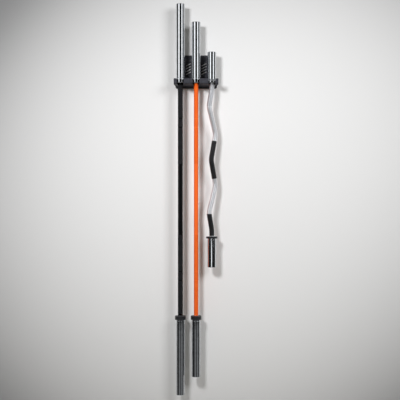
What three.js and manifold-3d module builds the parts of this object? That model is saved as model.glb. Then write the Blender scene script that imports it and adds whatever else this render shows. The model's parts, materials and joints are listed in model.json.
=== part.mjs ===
// A wall-mounted storage rack for three barbells, with the bars that hang in it.
//
// The rack is a bent and slotted steel shelf welded to a wall plate. Each bar hangs in a slot of
// the shelf by the collar of its upper sleeve, and the shelf's lip keeps it from sliding out.
// Units are millimetres. +X is to the right, +Y goes into the wall and +Z is up. The origin is
// the centre of the wall plate's rear face, which lies on the wall.

import * as THREE from 'three';
import { mergeVertices } from 'three/addons/utils/BufferGeometryUtils.js';
import Module from 'manifold-3d';

const wasm = await Module();
wasm.setup();

// Clearances that all pieces share
const fitGap = 0.3;
const cutOverrun = 2;

// Places of the bars
const barPitch = 88.5;
const barAxisFromWall = 75;

// Wall plate
const plateHeight = 189;
const plateThickness = 6;
const plateBelowShelf = 18;
const plateEdgeBeyondBolt = 16.5;
const plateTopCorner = 6;
const plateBottomCorner = 6;
const plateFootFlare = 13;
const plateFootAboveShelf = 6;
const plateFlareHeight = 12;
const upperBoltAboveShelf = 150;
const lowerBoltAboveShelf = 38;

// Slanted slots that lighten the wall plate between the bars
const ventLength = 32;
const ventWidth = 7;
const ventPitch = 16;
const ventCentreAboveShelf = 94;
const ventTilt = 30;
const ventsPerGroup = 4;

// Shelf
const shelfThickness = 6;
const shelfSlotWidth = 38;
const shelfEarWidth = 17.5;
const shelfStraightSide = 34;
const lipHeight = 24;
const lipCornerRadius = 4;
const bendInnerRadius = 3;
const collarLipClearance = 7;

// Plastic liners under the collars, and their screws
const linerFlangeThickness = 3;
const linerFlangeHalfWidth = 30;
const linerFlangeBehindAxis = 38;
const linerFlangeCorner = 6;
const linerWall = 1.5;
const linerScrewDiameter = 4;
const linerScrewHeadDiameter = 7.6;
const linerScrewHeadHeight = 2.2;
const linerScrewFromAxisX = 21;
const linerScrewBehindAxis = 31.5;

// Weld beads between the shelf and the wall plate
const weldLeg = 5;
const weldBulge = 3.4;
const weldShortOfEdge = 8;

// Lag screws into the wall, each with a flange under its head
const lagDiameter = 9.5;
const lagLength = 64;
const lagPointLength = 10;
const lagHeadAcrossFlats = 14.3;
const lagHeadHeight = 6.2;
const lagFlangeDiameter = 22;
const lagFlangeThickness = 2;

// What the ends of all three bars share
const sleeveDiameter = 50;
const sleeveBoreDiameter = 34.6;
const sleeveEndChamfer = 2;
const sleeveNeckDepth = 1;
const sleeveNeckLength = 7;
const collarChamfer = 1.5;
const collarInnerLip = 2.4;
const shoulderDepth = 1.55;
const thrustWasherOverhang = 1.75;
const thrustWasherProud = 1.5;
const bushingLength = 40;
const ringThickness = 2.5;
const ringGrooveDepth = 1.5;
const ringOverhang = 2.8;
const journalBeyondRing = 5;
const roomUnderCap = 14;
const capThickness = 5;
const capRecess = 2;
const capBossDiameter = 16;
const capBossHeight = 1.2;

// Long bar, on the left
const longShaftDiameter = 28.5;
const longGripLength = 1310;
const longSleeveLength = 445;
const longCollarDiameter = 62;
const longCollarThickness = 22;

// Middle bar
const middleShaftDiameter = 25;
const middleGripLength = 1310;
const middleSleeveLength = 343;
const middleCollarDiameter = 60;
const middleCollarThickness = 22;

// Curl bar, on the right, whose shaft zigzags in a plane that is turned about the bar's axis
const curlShaftDiameter = 28;
const curlGripLength = 864;
const curlSleeveLength = 174;
const curlCollarDiameter = 64;
const curlCollarThickness = 11;
const curlEndStraight = 35;
const curlOuterBendFromCollar = 134;
const curlInnerBendFromCollar = 288;
const curlOuterOffset = 21;
const curlInnerOffset = 27.5;
const curlMiddleOffset = 5;
const curlBendSetback = 20;
const curlPlaneTurn = 40;

// How finely round shapes are cut
const roundSides = 24;
const innerSides = 16;
const screwSides = 12;
const hexSides = 6;
const arcSteps = 6;
const curlSteps = 56;

// Sizes that follow from the ones above
const shelfTop = plateBelowShelf - plateHeight / 2;
const plateWidth = 2 * (barPitch + plateEdgeBeyondBolt);
const plateFootWidth = plateWidth + 2 * plateFootFlare;
const shelfWidth = 2 * barPitch + shelfSlotWidth + 2 * shelfEarWidth;
const shelfRear = plateThickness + fitGap;
const largestCollar = Math.max(longCollarDiameter, middleCollarDiameter, curlCollarDiameter);
const lipFront = barAxisFromWall + largestCollar / 2 + collarLipClearance + shelfThickness;
const bendOuterRadius = bendInnerRadius + shelfThickness;
const linerOuterRadius = shelfSlotWidth / 2 - fitGap;
const linerInnerRadius = linerOuterRadius - linerWall;
const linerFront = lipFront - bendOuterRadius - fitGap;
const linerTop = fitGap + linerFlangeThickness;
const collarSeat = shelfTop + linerTop + fitGap;
const boltHeights = { lower: shelfTop + lowerBoltAboveShelf, upper: shelfTop + upperBoltAboveShelf };
const slots = [-1, 0, 1];
const slotNames = ['left', 'middle', 'right'];

// Finishes
const finishes = {
  powderCoat: new THREE.MeshStandardMaterial({ color: 0x17181b, roughness: 0.42, metalness: 0.25 }),
  weld: new THREE.MeshStandardMaterial({ color: 0x1b1c1f, roughness: 0.5, metalness: 0.25 }),
  plastic: new THREE.MeshStandardMaterial({ color: 0x0f1012, roughness: 0.55, metalness: 0 }),
  zinc: new THREE.MeshStandardMaterial({ color: 0xa9adb2, roughness: 0.35, metalness: 0.9 }),
  blackScrew: new THREE.MeshStandardMaterial({ color: 0x1d1e20, roughness: 0.4, metalness: 0.7 }),
  chrome: new THREE.MeshStandardMaterial({ color: 0xd9dde0, roughness: 0.08, metalness: 1 }),
  blackShaft: new THREE.MeshStandardMaterial({ color: 0x1e1f21, roughness: 0.45, metalness: 0.5 }),
  orangeShaft: new THREE.MeshStandardMaterial({ color: 0xff5c12, roughness: 0.4, metalness: 0.1 }),
  bronze: new THREE.MeshStandardMaterial({ color: 0xa8773c, roughness: 0.4, metalness: 0.9 }),
  springSteel: new THREE.MeshStandardMaterial({ color: 0x54585c, roughness: 0.4, metalness: 0.9 }),
  washerSteel: new THREE.MeshStandardMaterial({ color: 0xc3c7ca, roughness: 0.25, metalness: 1 }),
};

// A closed solid from a geometry, without the triangles that have no area
function solidFrom(geometry) {
  const bare = geometry.clone();
  bare.deleteAttribute('normal');
  bare.deleteAttribute('uv');
  const merged = mergeVertices(bare);
  const kept = [];
  for (let i = 0; i < merged.index.count; i += 3) {
    const corners = [0, 1, 2].map((step) => merged.index.getX(i + step));
    if (new Set(corners).size === 3) {
      kept.push(...corners);
    }
  }
  const vertProperties = new Float32Array(merged.attributes.position.array);
  const triVerts = new Uint32Array(kept);
  return new wasm.Manifold(new wasm.Mesh({ numProp: 3, vertProperties, triVerts }));
}

function geometryFrom(solid) {
  const mesh = solid.getMesh();
  const geometry = new THREE.BufferGeometry();
  geometry.setAttribute('position', new THREE.BufferAttribute(mesh.vertProperties, 3));
  geometry.setIndex(new THREE.BufferAttribute(mesh.triVerts, 1));
  geometry.computeVertexNormals();
  return geometry;
}

function joined(solids) {
  return solids.reduce((all, next) => all.add(next));
}

function moved(solid, x, y, z) {
  return solid.translate([x, y, z]);
}

function named(name, solid, finish) {
  const mesh = new THREE.Mesh(geometryFrom(solid), finish);
  mesh.name = name;
  return mesh;
}

// A solid turned about Z from an outline of [radius, height] points, counterclockwise
function turned(outline, sides) {
  const points = outline.map(([radius, height]) => new THREE.Vector2(radius, height));
  const geometry = new THREE.LatheGeometry(points, sides);
  geometry.rotateX(Math.PI / 2);
  return solidFrom(geometry);
}

// The corner radius of a faceted bore whose flats lie at the wanted radius
function boreCorner(radius, sides) {
  return radius / Math.cos(Math.PI / sides);
}

// A plain cylinder about Z whose flats lie at the radius, for cutting a hole
function plug(radius, bottom, top, sides) {
  const corner = boreCorner(radius, sides);
  return turned([[0, bottom], [corner, bottom], [corner, top], [0, top]], sides);
}

// A tube about Z, whose bore clears a round piece of the inner radius all round
function ring(innerRadius, outerRadius, bottom, top, sides) {
  const inner = boreCorner(innerRadius, sides);
  return turned([
    [inner, bottom],
    [outerRadius, bottom],
    [outerRadius, top],
    [inner, top],
    [inner, bottom],
  ], sides);
}

// A drawn outline raised along Z
function raised(shape, bottom, top) {
  const options = { depth: top - bottom, bevelEnabled: false, curveSegments: arcSteps };
  const geometry = new THREE.ExtrudeGeometry(shape, options);
  geometry.translate(0, 0, bottom);
  return solidFrom(geometry);
}

// An outline drawn in X and Z, raised along Y from its rear to its front
function raisedForward(shape, rear, front) {
  const options = { depth: front - rear, bevelEnabled: false, curveSegments: arcSteps };
  const geometry = new THREE.ExtrudeGeometry(shape, options);
  geometry.rotateX(Math.PI / 2);
  geometry.translate(0, -rear, 0);
  return solidFrom(geometry);
}

function polygon(corners) {
  return new THREE.Shape(corners.map(([x, y]) => new THREE.Vector2(x, y)));
}

// A pill-shaped outline, lying along X
function pill(length, width) {
  const reach = (length - width) / 2;
  const shape = new THREE.Shape();
  shape.absarc(reach, 0, width / 2, -Math.PI / 2, Math.PI / 2, false);
  shape.absarc(-reach, 0, width / 2, Math.PI / 2, Math.PI * 1.5, false);
  shape.closePath();
  return shape;
}

// A slot outline that is open to the front, round about the bar's axis
function slotOutline(halfWidth, front) {
  const shape = new THREE.Shape();
  shape.moveTo(-halfWidth, -front);
  shape.lineTo(halfWidth, -front);
  shape.lineTo(halfWidth, -barAxisFromWall);
  shape.absarc(0, -barAxisFromWall, halfWidth, 0, Math.PI, false);
  shape.closePath();
  return shape;
}

// Wall plate: chamfered corners, six bolt holes behind the bars, slanted slots between the bars
function wallPlate() {
  const halfWidth = plateWidth / 2;
  const halfFoot = plateFootWidth / 2;
  const top = plateHeight / 2;
  const flareFoot = shelfTop + plateFootAboveShelf;
  const outline = polygon([
    [-halfWidth, flareFoot + plateFlareHeight],
    [-halfFoot, flareFoot],
    [-halfFoot, -top + plateBottomCorner],
    [-halfFoot + plateBottomCorner, -top],
    [halfFoot - plateBottomCorner, -top],
    [halfFoot, -top + plateBottomCorner],
    [halfFoot, flareFoot],
    [halfWidth, flareFoot + plateFlareHeight],
    [halfWidth, top - plateTopCorner],
    [halfWidth - plateTopCorner, top],
    [-halfWidth + plateTopCorner, top],
    [-halfWidth, top - plateTopCorner],
  ]);
  const holeRadius = lagDiameter / 2 + fitGap;
  const hole = plug(holeRadius, -cutOverrun, plateThickness + cutOverrun, screwSides);
  const cuts = slots.flatMap((slot) => Object.values(boltHeights).map((height) =>
    moved(lyingForward(hole), slot * barPitch, 0, height)));
  const vent = raisedForward(pill(ventLength, ventWidth), -cutOverrun, plateThickness + cutOverrun);
  const firstVent = shelfTop + ventCentreAboveShelf - ((ventsPerGroup - 1) * ventPitch) / 2;
  for (const side of [-1, 1]) {
    for (let i = 0; i < ventsPerGroup; i += 1) {
      const tilted = vent.rotate([0, -ventTilt, 0]);
      cuts.push(moved(tilted, (side * barPitch) / 2, 0, firstVent + i * ventPitch));
    }
  }
  return raisedForward(outline, 0, plateThickness).subtract(joined(cuts));
}

// Turns a solid that stands along Z so that its top points out of the wall, along -Y
function lyingForward(solid) {
  return solid.rotate([90, 0, 0]);
}

// Shelf: the bent section, trimmed to its plan and front outlines, less the slots
function shelfTray() {
  const bendCentreY = lipFront - bendOuterRadius;
  const bendCentreZ = bendInnerRadius;
  const section = new THREE.Shape();
  section.moveTo(shelfRear, -shelfThickness);
  section.lineTo(bendCentreY, -shelfThickness);
  section.absarc(bendCentreY, bendCentreZ, bendOuterRadius, -Math.PI / 2, 0, false);
  section.lineTo(lipFront, lipHeight);
  section.lineTo(lipFront - shelfThickness, lipHeight);
  section.lineTo(lipFront - shelfThickness, bendCentreZ);
  section.absarc(bendCentreY, bendCentreZ, bendInnerRadius, 0, -Math.PI / 2, true);
  section.lineTo(shelfRear, 0);
  section.closePath();
  const bent = raised(section, -shelfWidth / 2, shelfWidth / 2).transform(sectionToWorld());

  const halfFront = shelfWidth / 2;
  const halfRear = plateFootWidth / 2;
  const plan = polygon([
    [-halfRear, -shelfRear + cutOverrun],
    [-halfRear, -shelfRear],
    [-halfFront, -lipFront + shelfStraightSide],
    [-halfFront, -lipFront - cutOverrun],
    [halfFront, -lipFront - cutOverrun],
    [halfFront, -lipFront + shelfStraightSide],
    [halfRear, -shelfRear],
    [halfRear, -shelfRear + cutOverrun],
  ]);
  const below = -shelfThickness - cutOverrun;
  const above = lipHeight + cutOverrun;
  const corner = lipCornerRadius;
  const cornerHeight = lipHeight - corner;
  const front = new THREE.Shape();
  front.moveTo(-halfFront, below);
  front.lineTo(halfFront, below);
  front.absarc(halfFront - corner, cornerHeight, corner, 0, Math.PI / 2, false);
  front.absarc(-halfFront + corner, cornerHeight, corner, Math.PI / 2, Math.PI, false);
  front.closePath();

  const slot = raised(slotOutline(shelfSlotWidth / 2, lipFront + cutOverrun), below, above);
  const lipRear = lipFront - shelfThickness;
  const mouth = raisedForward(lipMouthOutline(), lipRear - cutOverrun, lipFront + cutOverrun);
  const screwHole = plug(linerScrewDiameter / 2 + fitGap, below, cutOverrun, screwSides);
  const cuts = [];
  for (const place of slots) {
    cuts.push(moved(slot, place * barPitch, 0, 0));
    cuts.push(moved(mouth, place * barPitch, 0, 0));
    for (const [x, y] of linerScrewPlaces(place)) {
      cuts.push(moved(screwHole, x, y, 0));
    }
  }
  return bent
    .intersect(raised(plan, below, above))
    .intersect(raisedForward(front, 0, lipFront + cutOverrun))
    .subtract(joined(cuts));
}

// Takes a section drawn as [distance from the wall, height] and raised along its own third axis
// to the part's axes, as the column-by-column matrix that a solid's transform takes
function sectionToWorld() {
  const basis = new THREE.Matrix4().makeBasis(
    new THREE.Vector3(0, -1, 0),
    new THREE.Vector3(0, 0, 1),
    new THREE.Vector3(-1, 0, 0),
  );
  return basis.toArray();
}

// What the slot takes from the lip in front view: straight sides that flare into rounded corners
function lipMouthOutline() {
  const half = shelfSlotWidth / 2;
  const radius = lipCornerRadius;
  const arcHeight = lipHeight - radius;
  const shape = new THREE.Shape();
  shape.moveTo(-half, bendInnerRadius);
  shape.lineTo(half, bendInnerRadius);
  shape.lineTo(half, arcHeight);
  shape.absarc(half + radius, arcHeight, radius, Math.PI, Math.PI / 2, true);
  shape.lineTo(half + radius, lipHeight + cutOverrun);
  shape.lineTo(-half - radius, lipHeight + cutOverrun);
  shape.lineTo(-half - radius, lipHeight);
  shape.absarc(-half - radius, arcHeight, radius, Math.PI / 2, 0, true);
  shape.closePath();
  return shape;
}

function linerScrewPlaces(slot) {
  return [-1, 1].map((side) => [
    slot * barPitch + side * linerScrewFromAxisX,
    -barAxisFromWall + linerScrewBehindAxis,
  ]);
}

// Saddle liner: a flange under the collar, with a wall that hangs down inside the slot
function saddleLiner() {
  const half = linerFlangeHalfWidth;
  const rear = -barAxisFromWall + linerFlangeBehindAxis;
  const corner = linerFlangeCorner;
  const flange = new THREE.Shape();
  flange.moveTo(-half, -linerFront);
  flange.lineTo(half, -linerFront);
  flange.absarc(half - corner, rear - corner, corner, 0, Math.PI / 2, false);
  flange.absarc(-half + corner, rear - corner, corner, Math.PI / 2, Math.PI, false);
  flange.closePath();
  const body = joined([
    raised(flange, fitGap, linerTop),
    raised(slotOutline(linerOuterRadius, linerFront), -shelfThickness, linerTop),
  ]);
  const passage = slotOutline(linerInnerRadius, linerFront + cutOverrun);
  const cuts = [raised(passage, -shelfThickness - cutOverrun, linerTop + cutOverrun)];
  const screwHole = plug(linerScrewDiameter / 2 + fitGap, -cutOverrun, linerTop + cutOverrun, screwSides);
  for (const [x, y] of linerScrewPlaces(0)) {
    cuts.push(moved(screwHole, x, y, 0));
  }
  return body.subtract(joined(cuts));
}

// Button-head screw that holds a liner down, threaded into the shelf
function linerScrew() {
  const shank = linerScrewDiameter / 2;
  const head = linerScrewHeadDiameter / 2;
  const seat = linerTop + fitGap;
  return turned([
    [0, -shelfThickness + fitGap],
    [shank, -shelfThickness + fitGap],
    [shank, seat],
    [head, seat],
    [head, seat + linerScrewHeadHeight / 2],
    [shank, seat + linerScrewHeadHeight],
    [0, seat + linerScrewHeadHeight],
  ], screwSides);
}

// Weld bead: a rounded fillet along the shelf, where it meets the wall plate
function weldBead() {
  const section = new THREE.Shape();
  section.moveTo(0, 0);
  section.lineTo(weldLeg, 0);
  section.quadraticCurveTo(weldBulge, weldBulge, 0, weldLeg);
  section.closePath();
  const reach = plateFootWidth / 2 - weldShortOfEdge;
  return raised(section, -reach, reach).transform(sectionToWorld());
}

// Lag screw along Z: its flange stands on zero and its point goes down into the wall
function lagScrew() {
  const headCorner = boreCorner(lagHeadAcrossFlats / 2, hexSides);
  const headTop = lagFlangeThickness + lagHeadHeight;
  const head = turned([[0, 0], [headCorner, 0], [headCorner, headTop], [0, headTop]], hexSides);
  const shank = lagDiameter / 2;
  const flange = lagFlangeDiameter / 2;
  const shaft = turned([
    [0, -lagLength],
    [shank, -lagLength + lagPointLength],
    [shank, 0],
    [flange, 0],
    [flange, lagFlangeThickness / 2],
    [headCorner, lagFlangeThickness],
    [0, lagFlangeThickness],
  ], screwSides);
  return head.add(shaft);
}

// The rack: wall plate, shelf, liners and what fastens them
function rack() {
  const group = new THREE.Group();
  group.add(named('wall_plate', wallPlate(), finishes.powderCoat));
  const lag = lyingForward(lagScrew());
  const shelf = new THREE.Group();
  shelf.position.z = shelfTop;
  shelf.add(named('shelf_tray', shelfTray(), finishes.powderCoat));
  const beadAbove = named('weld_bead_above', weldBead(), finishes.weld);
  beadAbove.position.set(0, -shelfRear, fitGap);
  const beadBelow = named('weld_bead_below', weldBead().mirror([0, 0, 1]), finishes.weld);
  beadBelow.position.set(0, -shelfRear, -shelfThickness - fitGap);
  shelf.add(beadAbove, beadBelow);
  slots.forEach((slot, i) => {
    for (const [level, height] of Object.entries(boltHeights)) {
      const screw = named(`lag_screw_${slotNames[i]}_${level}`, lag, finishes.zinc);
      screw.position.set(slot * barPitch, -plateThickness - fitGap, height);
      group.add(screw);
    }
    const liner = named(`saddle_liner_${slotNames[i]}`, saddleLiner(), finishes.plastic);
    liner.position.x = slot * barPitch;
    shelf.add(liner);
    linerScrewPlaces(slot).forEach(([x, y], n) => {
      const screw = named(`liner_screw_${slotNames[i]}_${n + 1}`, linerScrew(), finishes.blackScrew);
      screw.position.set(x, y, 0);
      shelf.add(screw);
    });
  });
  group.add(shelf);
  return group;
}

// Heights inside one sleeve, measured outwards from the collar's inner face
function sleeveHeights(bar) {
  const capBottom = bar.sleeveLength - capRecess - capThickness;
  const journalTip = capBottom - roomUnderCap;
  const ringTop = journalTip - journalBeyondRing;
  const ringBottom = ringTop - ringThickness;
  const outerBushingTop = ringBottom - fitGap;
  const innerBushingBottom = collarInnerLip + fitGap;
  return { capBottom, journalTip, ringTop, ringBottom, outerBushingTop, innerBushingBottom };
}

function journalRadius(bar) {
  return bar.shaftDiameter / 2 - shoulderDepth;
}

function thrustWasherRadius(bar) {
  return bar.shaftDiameter / 2 + thrustWasherOverhang;
}

// The outline of a shaft's end, from its shoulder outwards to the axis, above a collar face at zero
function journalOutline(bar) {
  const heights = sleeveHeights(bar);
  const radius = journalRadius(bar);
  const groove = radius - ringGrooveDepth;
  const shoulder = -thrustWasherProud - fitGap;
  return [
    [radius, shoulder],
    [radius, heights.ringBottom - fitGap],
    [groove, heights.ringBottom - fitGap],
    [groove, heights.ringTop + fitGap],
    [radius, heights.ringTop + fitGap],
    [radius, heights.journalTip],
    [0, heights.journalTip],
  ];
}

// A straight shaft with a turned-down journal at each end
function straightShaft(bar) {
  const upper = journalOutline(bar);
  const shoulder = upper[0][1];
  const outline = [[bar.shaftDiameter / 2, shoulder], ...upper];
  const lower = outline.map(([radius, height]) => [radius, -bar.gripLength - height]).reverse();
  return turned([...lower, ...outline], roundSides);
}

// The curl bar's centre line: straight runs between rounded bends
function curlPath(bar) {
  const turn = THREE.MathUtils.degToRad(curlPlaneTurn);
  const grip = bar.gripLength;
  const shoulder = thrustWasherProud + fitGap;
  const half = [
    [0, shoulder],
    [0, curlEndStraight],
    [-curlOuterOffset, curlOuterBendFromCollar],
    [curlInnerOffset, curlInnerBendFromCollar],
  ];
  const mirrored = half.map(([offset, depth]) => [offset, grip - depth]).reverse();
  const corners = [...half, [-curlMiddleOffset, grip / 2], ...mirrored].map(([offset, depth]) =>
    new THREE.Vector3(offset * Math.cos(turn), offset * Math.sin(turn), -depth));
  const path = new THREE.CurvePath();
  let from = corners[0];
  for (let i = 1; i < corners.length - 1; i += 1) {
    const corner = corners[i];
    const before = towards(corner, corners[i - 1]);
    const after = towards(corner, corners[i + 1]);
    path.add(new THREE.LineCurve3(from, before));
    path.add(new THREE.QuadraticBezierCurve3(before, corner, after));
    from = after;
  }
  path.add(new THREE.LineCurve3(from, corners[corners.length - 1]));
  return path;
}

function towards(corner, next) {
  return next.clone().sub(corner).setLength(curlBendSetback).add(corner);
}

// The zigzag shaft: a round section along its centre line, with a journal at each end
function curlShaft(bar) {
  const section = new THREE.Shape();
  section.absarc(0, 0, bar.shaftDiameter / 2, 0, 2 * Math.PI, false);
  const options = { steps: curlSteps, extrudePath: curlPath(bar), curveSegments: innerSides / 2 };
  const zigzag = solidFrom(new THREE.ExtrudeGeometry(section, options));
  const upper = journalOutline(bar);
  const [radius, shoulder] = upper[0];
  const root = shoulder - shoulderDepth;
  const journal = turned([[0, root], [radius, root], ...upper.slice(1)], innerSides);
  const lower = moved(journal.rotate([180, 0, 0]), 0, 0, -bar.gripLength);
  return joined([zigzag, journal, lower]);
}

// Sleeve: collar, neck and tube in one turned piece, bored for its bushings
function sleeve(bar) {
  const collar = bar.collarDiameter / 2;
  const tube = sleeveDiameter / 2;
  const neck = tube - sleeveNeckDepth;
  const bore = boreCorner(sleeveBoreDiameter / 2, roundSides);
  const lipHole = boreCorner(thrustWasherRadius(bar) + fitGap, roundSides);
  const neckTop = bar.collarThickness + sleeveNeckLength;
  return turned([
    [lipHole, 0],
    [collar - collarChamfer, 0],
    [collar, collarChamfer],
    [collar, bar.collarThickness - collarChamfer],
    [collar - collarChamfer, bar.collarThickness],
    [neck, bar.collarThickness],
    [neck, neckTop],
    [tube, neckTop + sleeveNeckDepth],
    [tube, bar.sleeveLength - sleeveEndChamfer],
    [tube - sleeveEndChamfer, bar.sleeveLength],
    [bore, bar.sleeveLength],
    [bore, collarInnerLip],
    [lipHole, collarInnerLip],
    [lipHole, 0],
  ], roundSides);
}

// End cap: a disc pressed into the sleeve's mouth, with a low round boss
function endCap(bar) {
  const { capBottom } = sleeveHeights(bar);
  const radius = sleeveBoreDiameter / 2 - fitGap;
  const boss = capBossDiameter / 2;
  const top = capBottom + capThickness;
  return turned([
    [0, capBottom],
    [radius, capBottom],
    [radius, top],
    [boss, top],
    [boss - capBossHeight, top + capBossHeight],
    [0, top + capBossHeight],
  ], innerSides);
}

// One end of a bar: its sleeve and what is inside it, standing on a collar face at zero
function barEnd(bar, end) {
  const heights = sleeveHeights(bar);
  const journal = journalRadius(bar);
  const running = journal + fitGap;
  const seated = sleeveBoreDiameter / 2 - fitGap;
  const bushing = (bottom) => ring(running, seated, bottom, bottom + bushingLength, innerSides);
  const washerRadius = thrustWasherRadius(bar);
  const washer = ring(running, washerRadius, -thrustWasherProud, collarInnerLip, innerSides);
  const grooved = journal - ringGrooveDepth + fitGap;
  const { ringBottom, ringTop } = heights;
  const snapRing = ring(grooved, journal + ringOverhang, ringBottom, ringTop, innerSides);
  const innerBushing = bushing(heights.innerBushingBottom);
  const outerBushing = bushing(heights.outerBushingTop - bushingLength);
  const prefix = `${bar.name}_${end}`;
  const group = new THREE.Group();
  group.add(named(`${prefix}_sleeve`, sleeve(bar), finishes.chrome));
  group.add(named(`${prefix}_inner_bushing`, innerBushing, finishes.bronze));
  group.add(named(`${prefix}_outer_bushing`, outerBushing, finishes.bronze));
  group.add(named(`${prefix}_thrust_washer`, washer, finishes.washerSteel));
  group.add(named(`${prefix}_retaining_ring`, snapRing, finishes.springSteel));
  group.add(named(`${prefix}_end_cap`, endCap(bar), finishes.chrome));
  return group;
}

// One whole bar, hung by its upper collar in its slot
function hungBar(bar) {
  const group = new THREE.Group();
  group.position.set(bar.slot * barPitch, -barAxisFromWall, collarSeat);
  group.add(named(`${bar.name}_shaft`, bar.shape(bar), bar.finish));
  const upper = barEnd(bar, 'top');
  const lower = barEnd(bar, 'bottom');
  lower.rotation.x = Math.PI;
  lower.position.z = -bar.gripLength;
  group.add(upper, lower);
  return group;
}

const bars = [
  {
    name: 'long_bar',
    slot: -1,
    shape: straightShaft,
    finish: finishes.blackShaft,
    shaftDiameter: longShaftDiameter,
    gripLength: longGripLength,
    sleeveLength: longSleeveLength,
    collarDiameter: longCollarDiameter,
    collarThickness: longCollarThickness,
  },
  {
    name: 'middle_bar',
    slot: 0,
    shape: straightShaft,
    finish: finishes.orangeShaft,
    shaftDiameter: middleShaftDiameter,
    gripLength: middleGripLength,
    sleeveLength: middleSleeveLength,
    collarDiameter: middleCollarDiameter,
    collarThickness: middleCollarThickness,
  },
  {
    name: 'curl_bar',
    slot: 1,
    shape: curlShaft,
    finish: finishes.chrome,
    shaftDiameter: curlShaftDiameter,
    gripLength: curlGripLength,
    sleeveLength: curlSleeveLength,
    collarDiameter: curlCollarDiameter,
    collarThickness: curlCollarThickness,
  },
];

const group = new THREE.Group();
group.add(rack());
for (const bar of bars) {
  group.add(hungBar(bar));
}

export default group;
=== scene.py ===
# %% [markdown]
# This lesson dresses a small wall rack that holds three barbells by their upper collars. The
# engineering model already gives every piece its place and size, so the work here is to give each
# piece the surface that it has on the real thing: chrome that was turned and plated, knurled
# shafts with a thin coating, and steel plate under black powder. Everything is in metres, +X is
# to the right, +Y goes into the wall and +Z is up. The origin is on the wall, behind the rack.
# Small sizes are written in millimetres, as a number times MM.

# %% Load the engineering model
import json
import math

import bmesh
import bpy
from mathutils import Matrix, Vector

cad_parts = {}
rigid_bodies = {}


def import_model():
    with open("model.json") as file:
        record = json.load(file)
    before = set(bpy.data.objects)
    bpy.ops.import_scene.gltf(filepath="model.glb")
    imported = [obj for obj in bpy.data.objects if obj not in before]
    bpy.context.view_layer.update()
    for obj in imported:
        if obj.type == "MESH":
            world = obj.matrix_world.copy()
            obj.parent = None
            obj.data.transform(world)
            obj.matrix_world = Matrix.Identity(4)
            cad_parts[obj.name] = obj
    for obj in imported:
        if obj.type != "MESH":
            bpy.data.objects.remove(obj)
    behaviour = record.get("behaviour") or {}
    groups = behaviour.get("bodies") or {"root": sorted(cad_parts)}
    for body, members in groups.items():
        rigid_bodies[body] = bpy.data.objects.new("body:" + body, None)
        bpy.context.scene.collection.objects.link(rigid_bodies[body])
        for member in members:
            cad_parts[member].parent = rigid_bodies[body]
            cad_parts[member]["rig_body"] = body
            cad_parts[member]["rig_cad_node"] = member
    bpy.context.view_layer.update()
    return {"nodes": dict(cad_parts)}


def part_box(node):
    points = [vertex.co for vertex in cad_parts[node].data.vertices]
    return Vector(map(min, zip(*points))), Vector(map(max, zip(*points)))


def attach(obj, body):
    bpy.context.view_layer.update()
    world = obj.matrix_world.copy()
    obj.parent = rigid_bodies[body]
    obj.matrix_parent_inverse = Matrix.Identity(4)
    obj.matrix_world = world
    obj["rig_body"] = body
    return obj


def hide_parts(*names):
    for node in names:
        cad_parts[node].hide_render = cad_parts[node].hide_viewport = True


MM = 0.001

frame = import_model()
scene = bpy.context.scene
print("pieces in the engineering model:", len(frame["nodes"]))

# %% [markdown]
# The camera comes first, because every later choice of detail is made by looking through it. The
# picture was taken straight on from far away, at the height of the bars' middle, so a long lens
# that looks level along +Y gives the same flat view. A short lens near the bars would bend the
# rack's proportions.

# %% Camera
CAMERA_PLACE = (0.022, -4.675, -0.7315)
LENS_MM = 73.5
SENSOR_MM = 36
VIEW_RANGE = 60

bpy.ops.object.select_all(action="DESELECT")
bpy.ops.object.camera_add(location=CAMERA_PLACE, rotation=(math.radians(90), 0, 0))
camera = bpy.context.object
camera.data.lens = LENS_MM
camera.data.sensor_width = SENSOR_MM
camera.data.clip_end = VIEW_RANGE
camera.data.dof.use_dof = False
scene.camera = camera
scene.view_settings.view_transform = "Standard"
print("camera distance from the wall:", -camera.location.y)

# %% [markdown]
# Node trees are easier to read when a node is one call. The first helpers add a node, set its
# options and fill its sockets, and a socket can be given a number, a colour or another node's
# output. The others do the same for arithmetic, for noise and for a whole finish. Writing links
# out by hand would take three lines for each node and hide what the tree does.


# %% Helpers for node trees
def fill_sockets(tree, node, sockets):
    """Links the outputs among the given values to a node's sockets, and writes the others in."""
    for name, value in sockets.items():
        if isinstance(value, bpy.types.NodeSocket):
            tree.links.new(value, node.inputs[name])
        else:
            node.inputs[name].default_value = value


def add_node(tree, kind, sockets=None, **options):
    """Adds a node, sets its options, and fills its sockets with values or with outputs."""
    made = tree.nodes.new("ShaderNode" + kind)
    for name, value in options.items():
        setattr(made, name, value)
    fill_sockets(tree, made, sockets or {})
    return made


def calculate(tree, operation, *values):
    """Adds one step of arithmetic and returns its output."""
    return add_node(tree, "Math", dict(enumerate(values)), operation=operation).outputs[0]


def ramp_between(tree, value, start, end, low=0.0, high=1.0):
    """Eases from low to high while the value goes from start to end."""
    sockets = {"Value": value, "From Min": start, "From Max": end, "To Min": low, "To Max": high}
    step = add_node(tree, "MapRange", sockets, interpolation_type="SMOOTHSTEP")
    return step.outputs["Result"]


def band_between(tree, value, start, end, edge):
    """One while the value lies between start and end, nought elsewhere, with soft edges."""
    rise = ramp_between(tree, value, start - edge / 2, start + edge / 2)
    fall = ramp_between(tree, value, end - edge / 2, end + edge / 2, 1.0, 0.0)
    return calculate(tree, "MULTIPLY", rise, fall)


def blend_colours(tree, share, first, second):
    """Mixes two colours by a share between 0 and 1."""
    mix = add_node(tree, "Mix", {0: share, 6: first, 7: second}, data_type="RGBA")
    return mix.outputs[2]


def noise(tree, place, scale, sockets):
    """Noise over a place, with a scale that is a value or an output."""
    made = add_node(tree, "TexNoise", {"Vector": place, "Scale": scale, **sockets})
    return made.outputs["Fac"]


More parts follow.
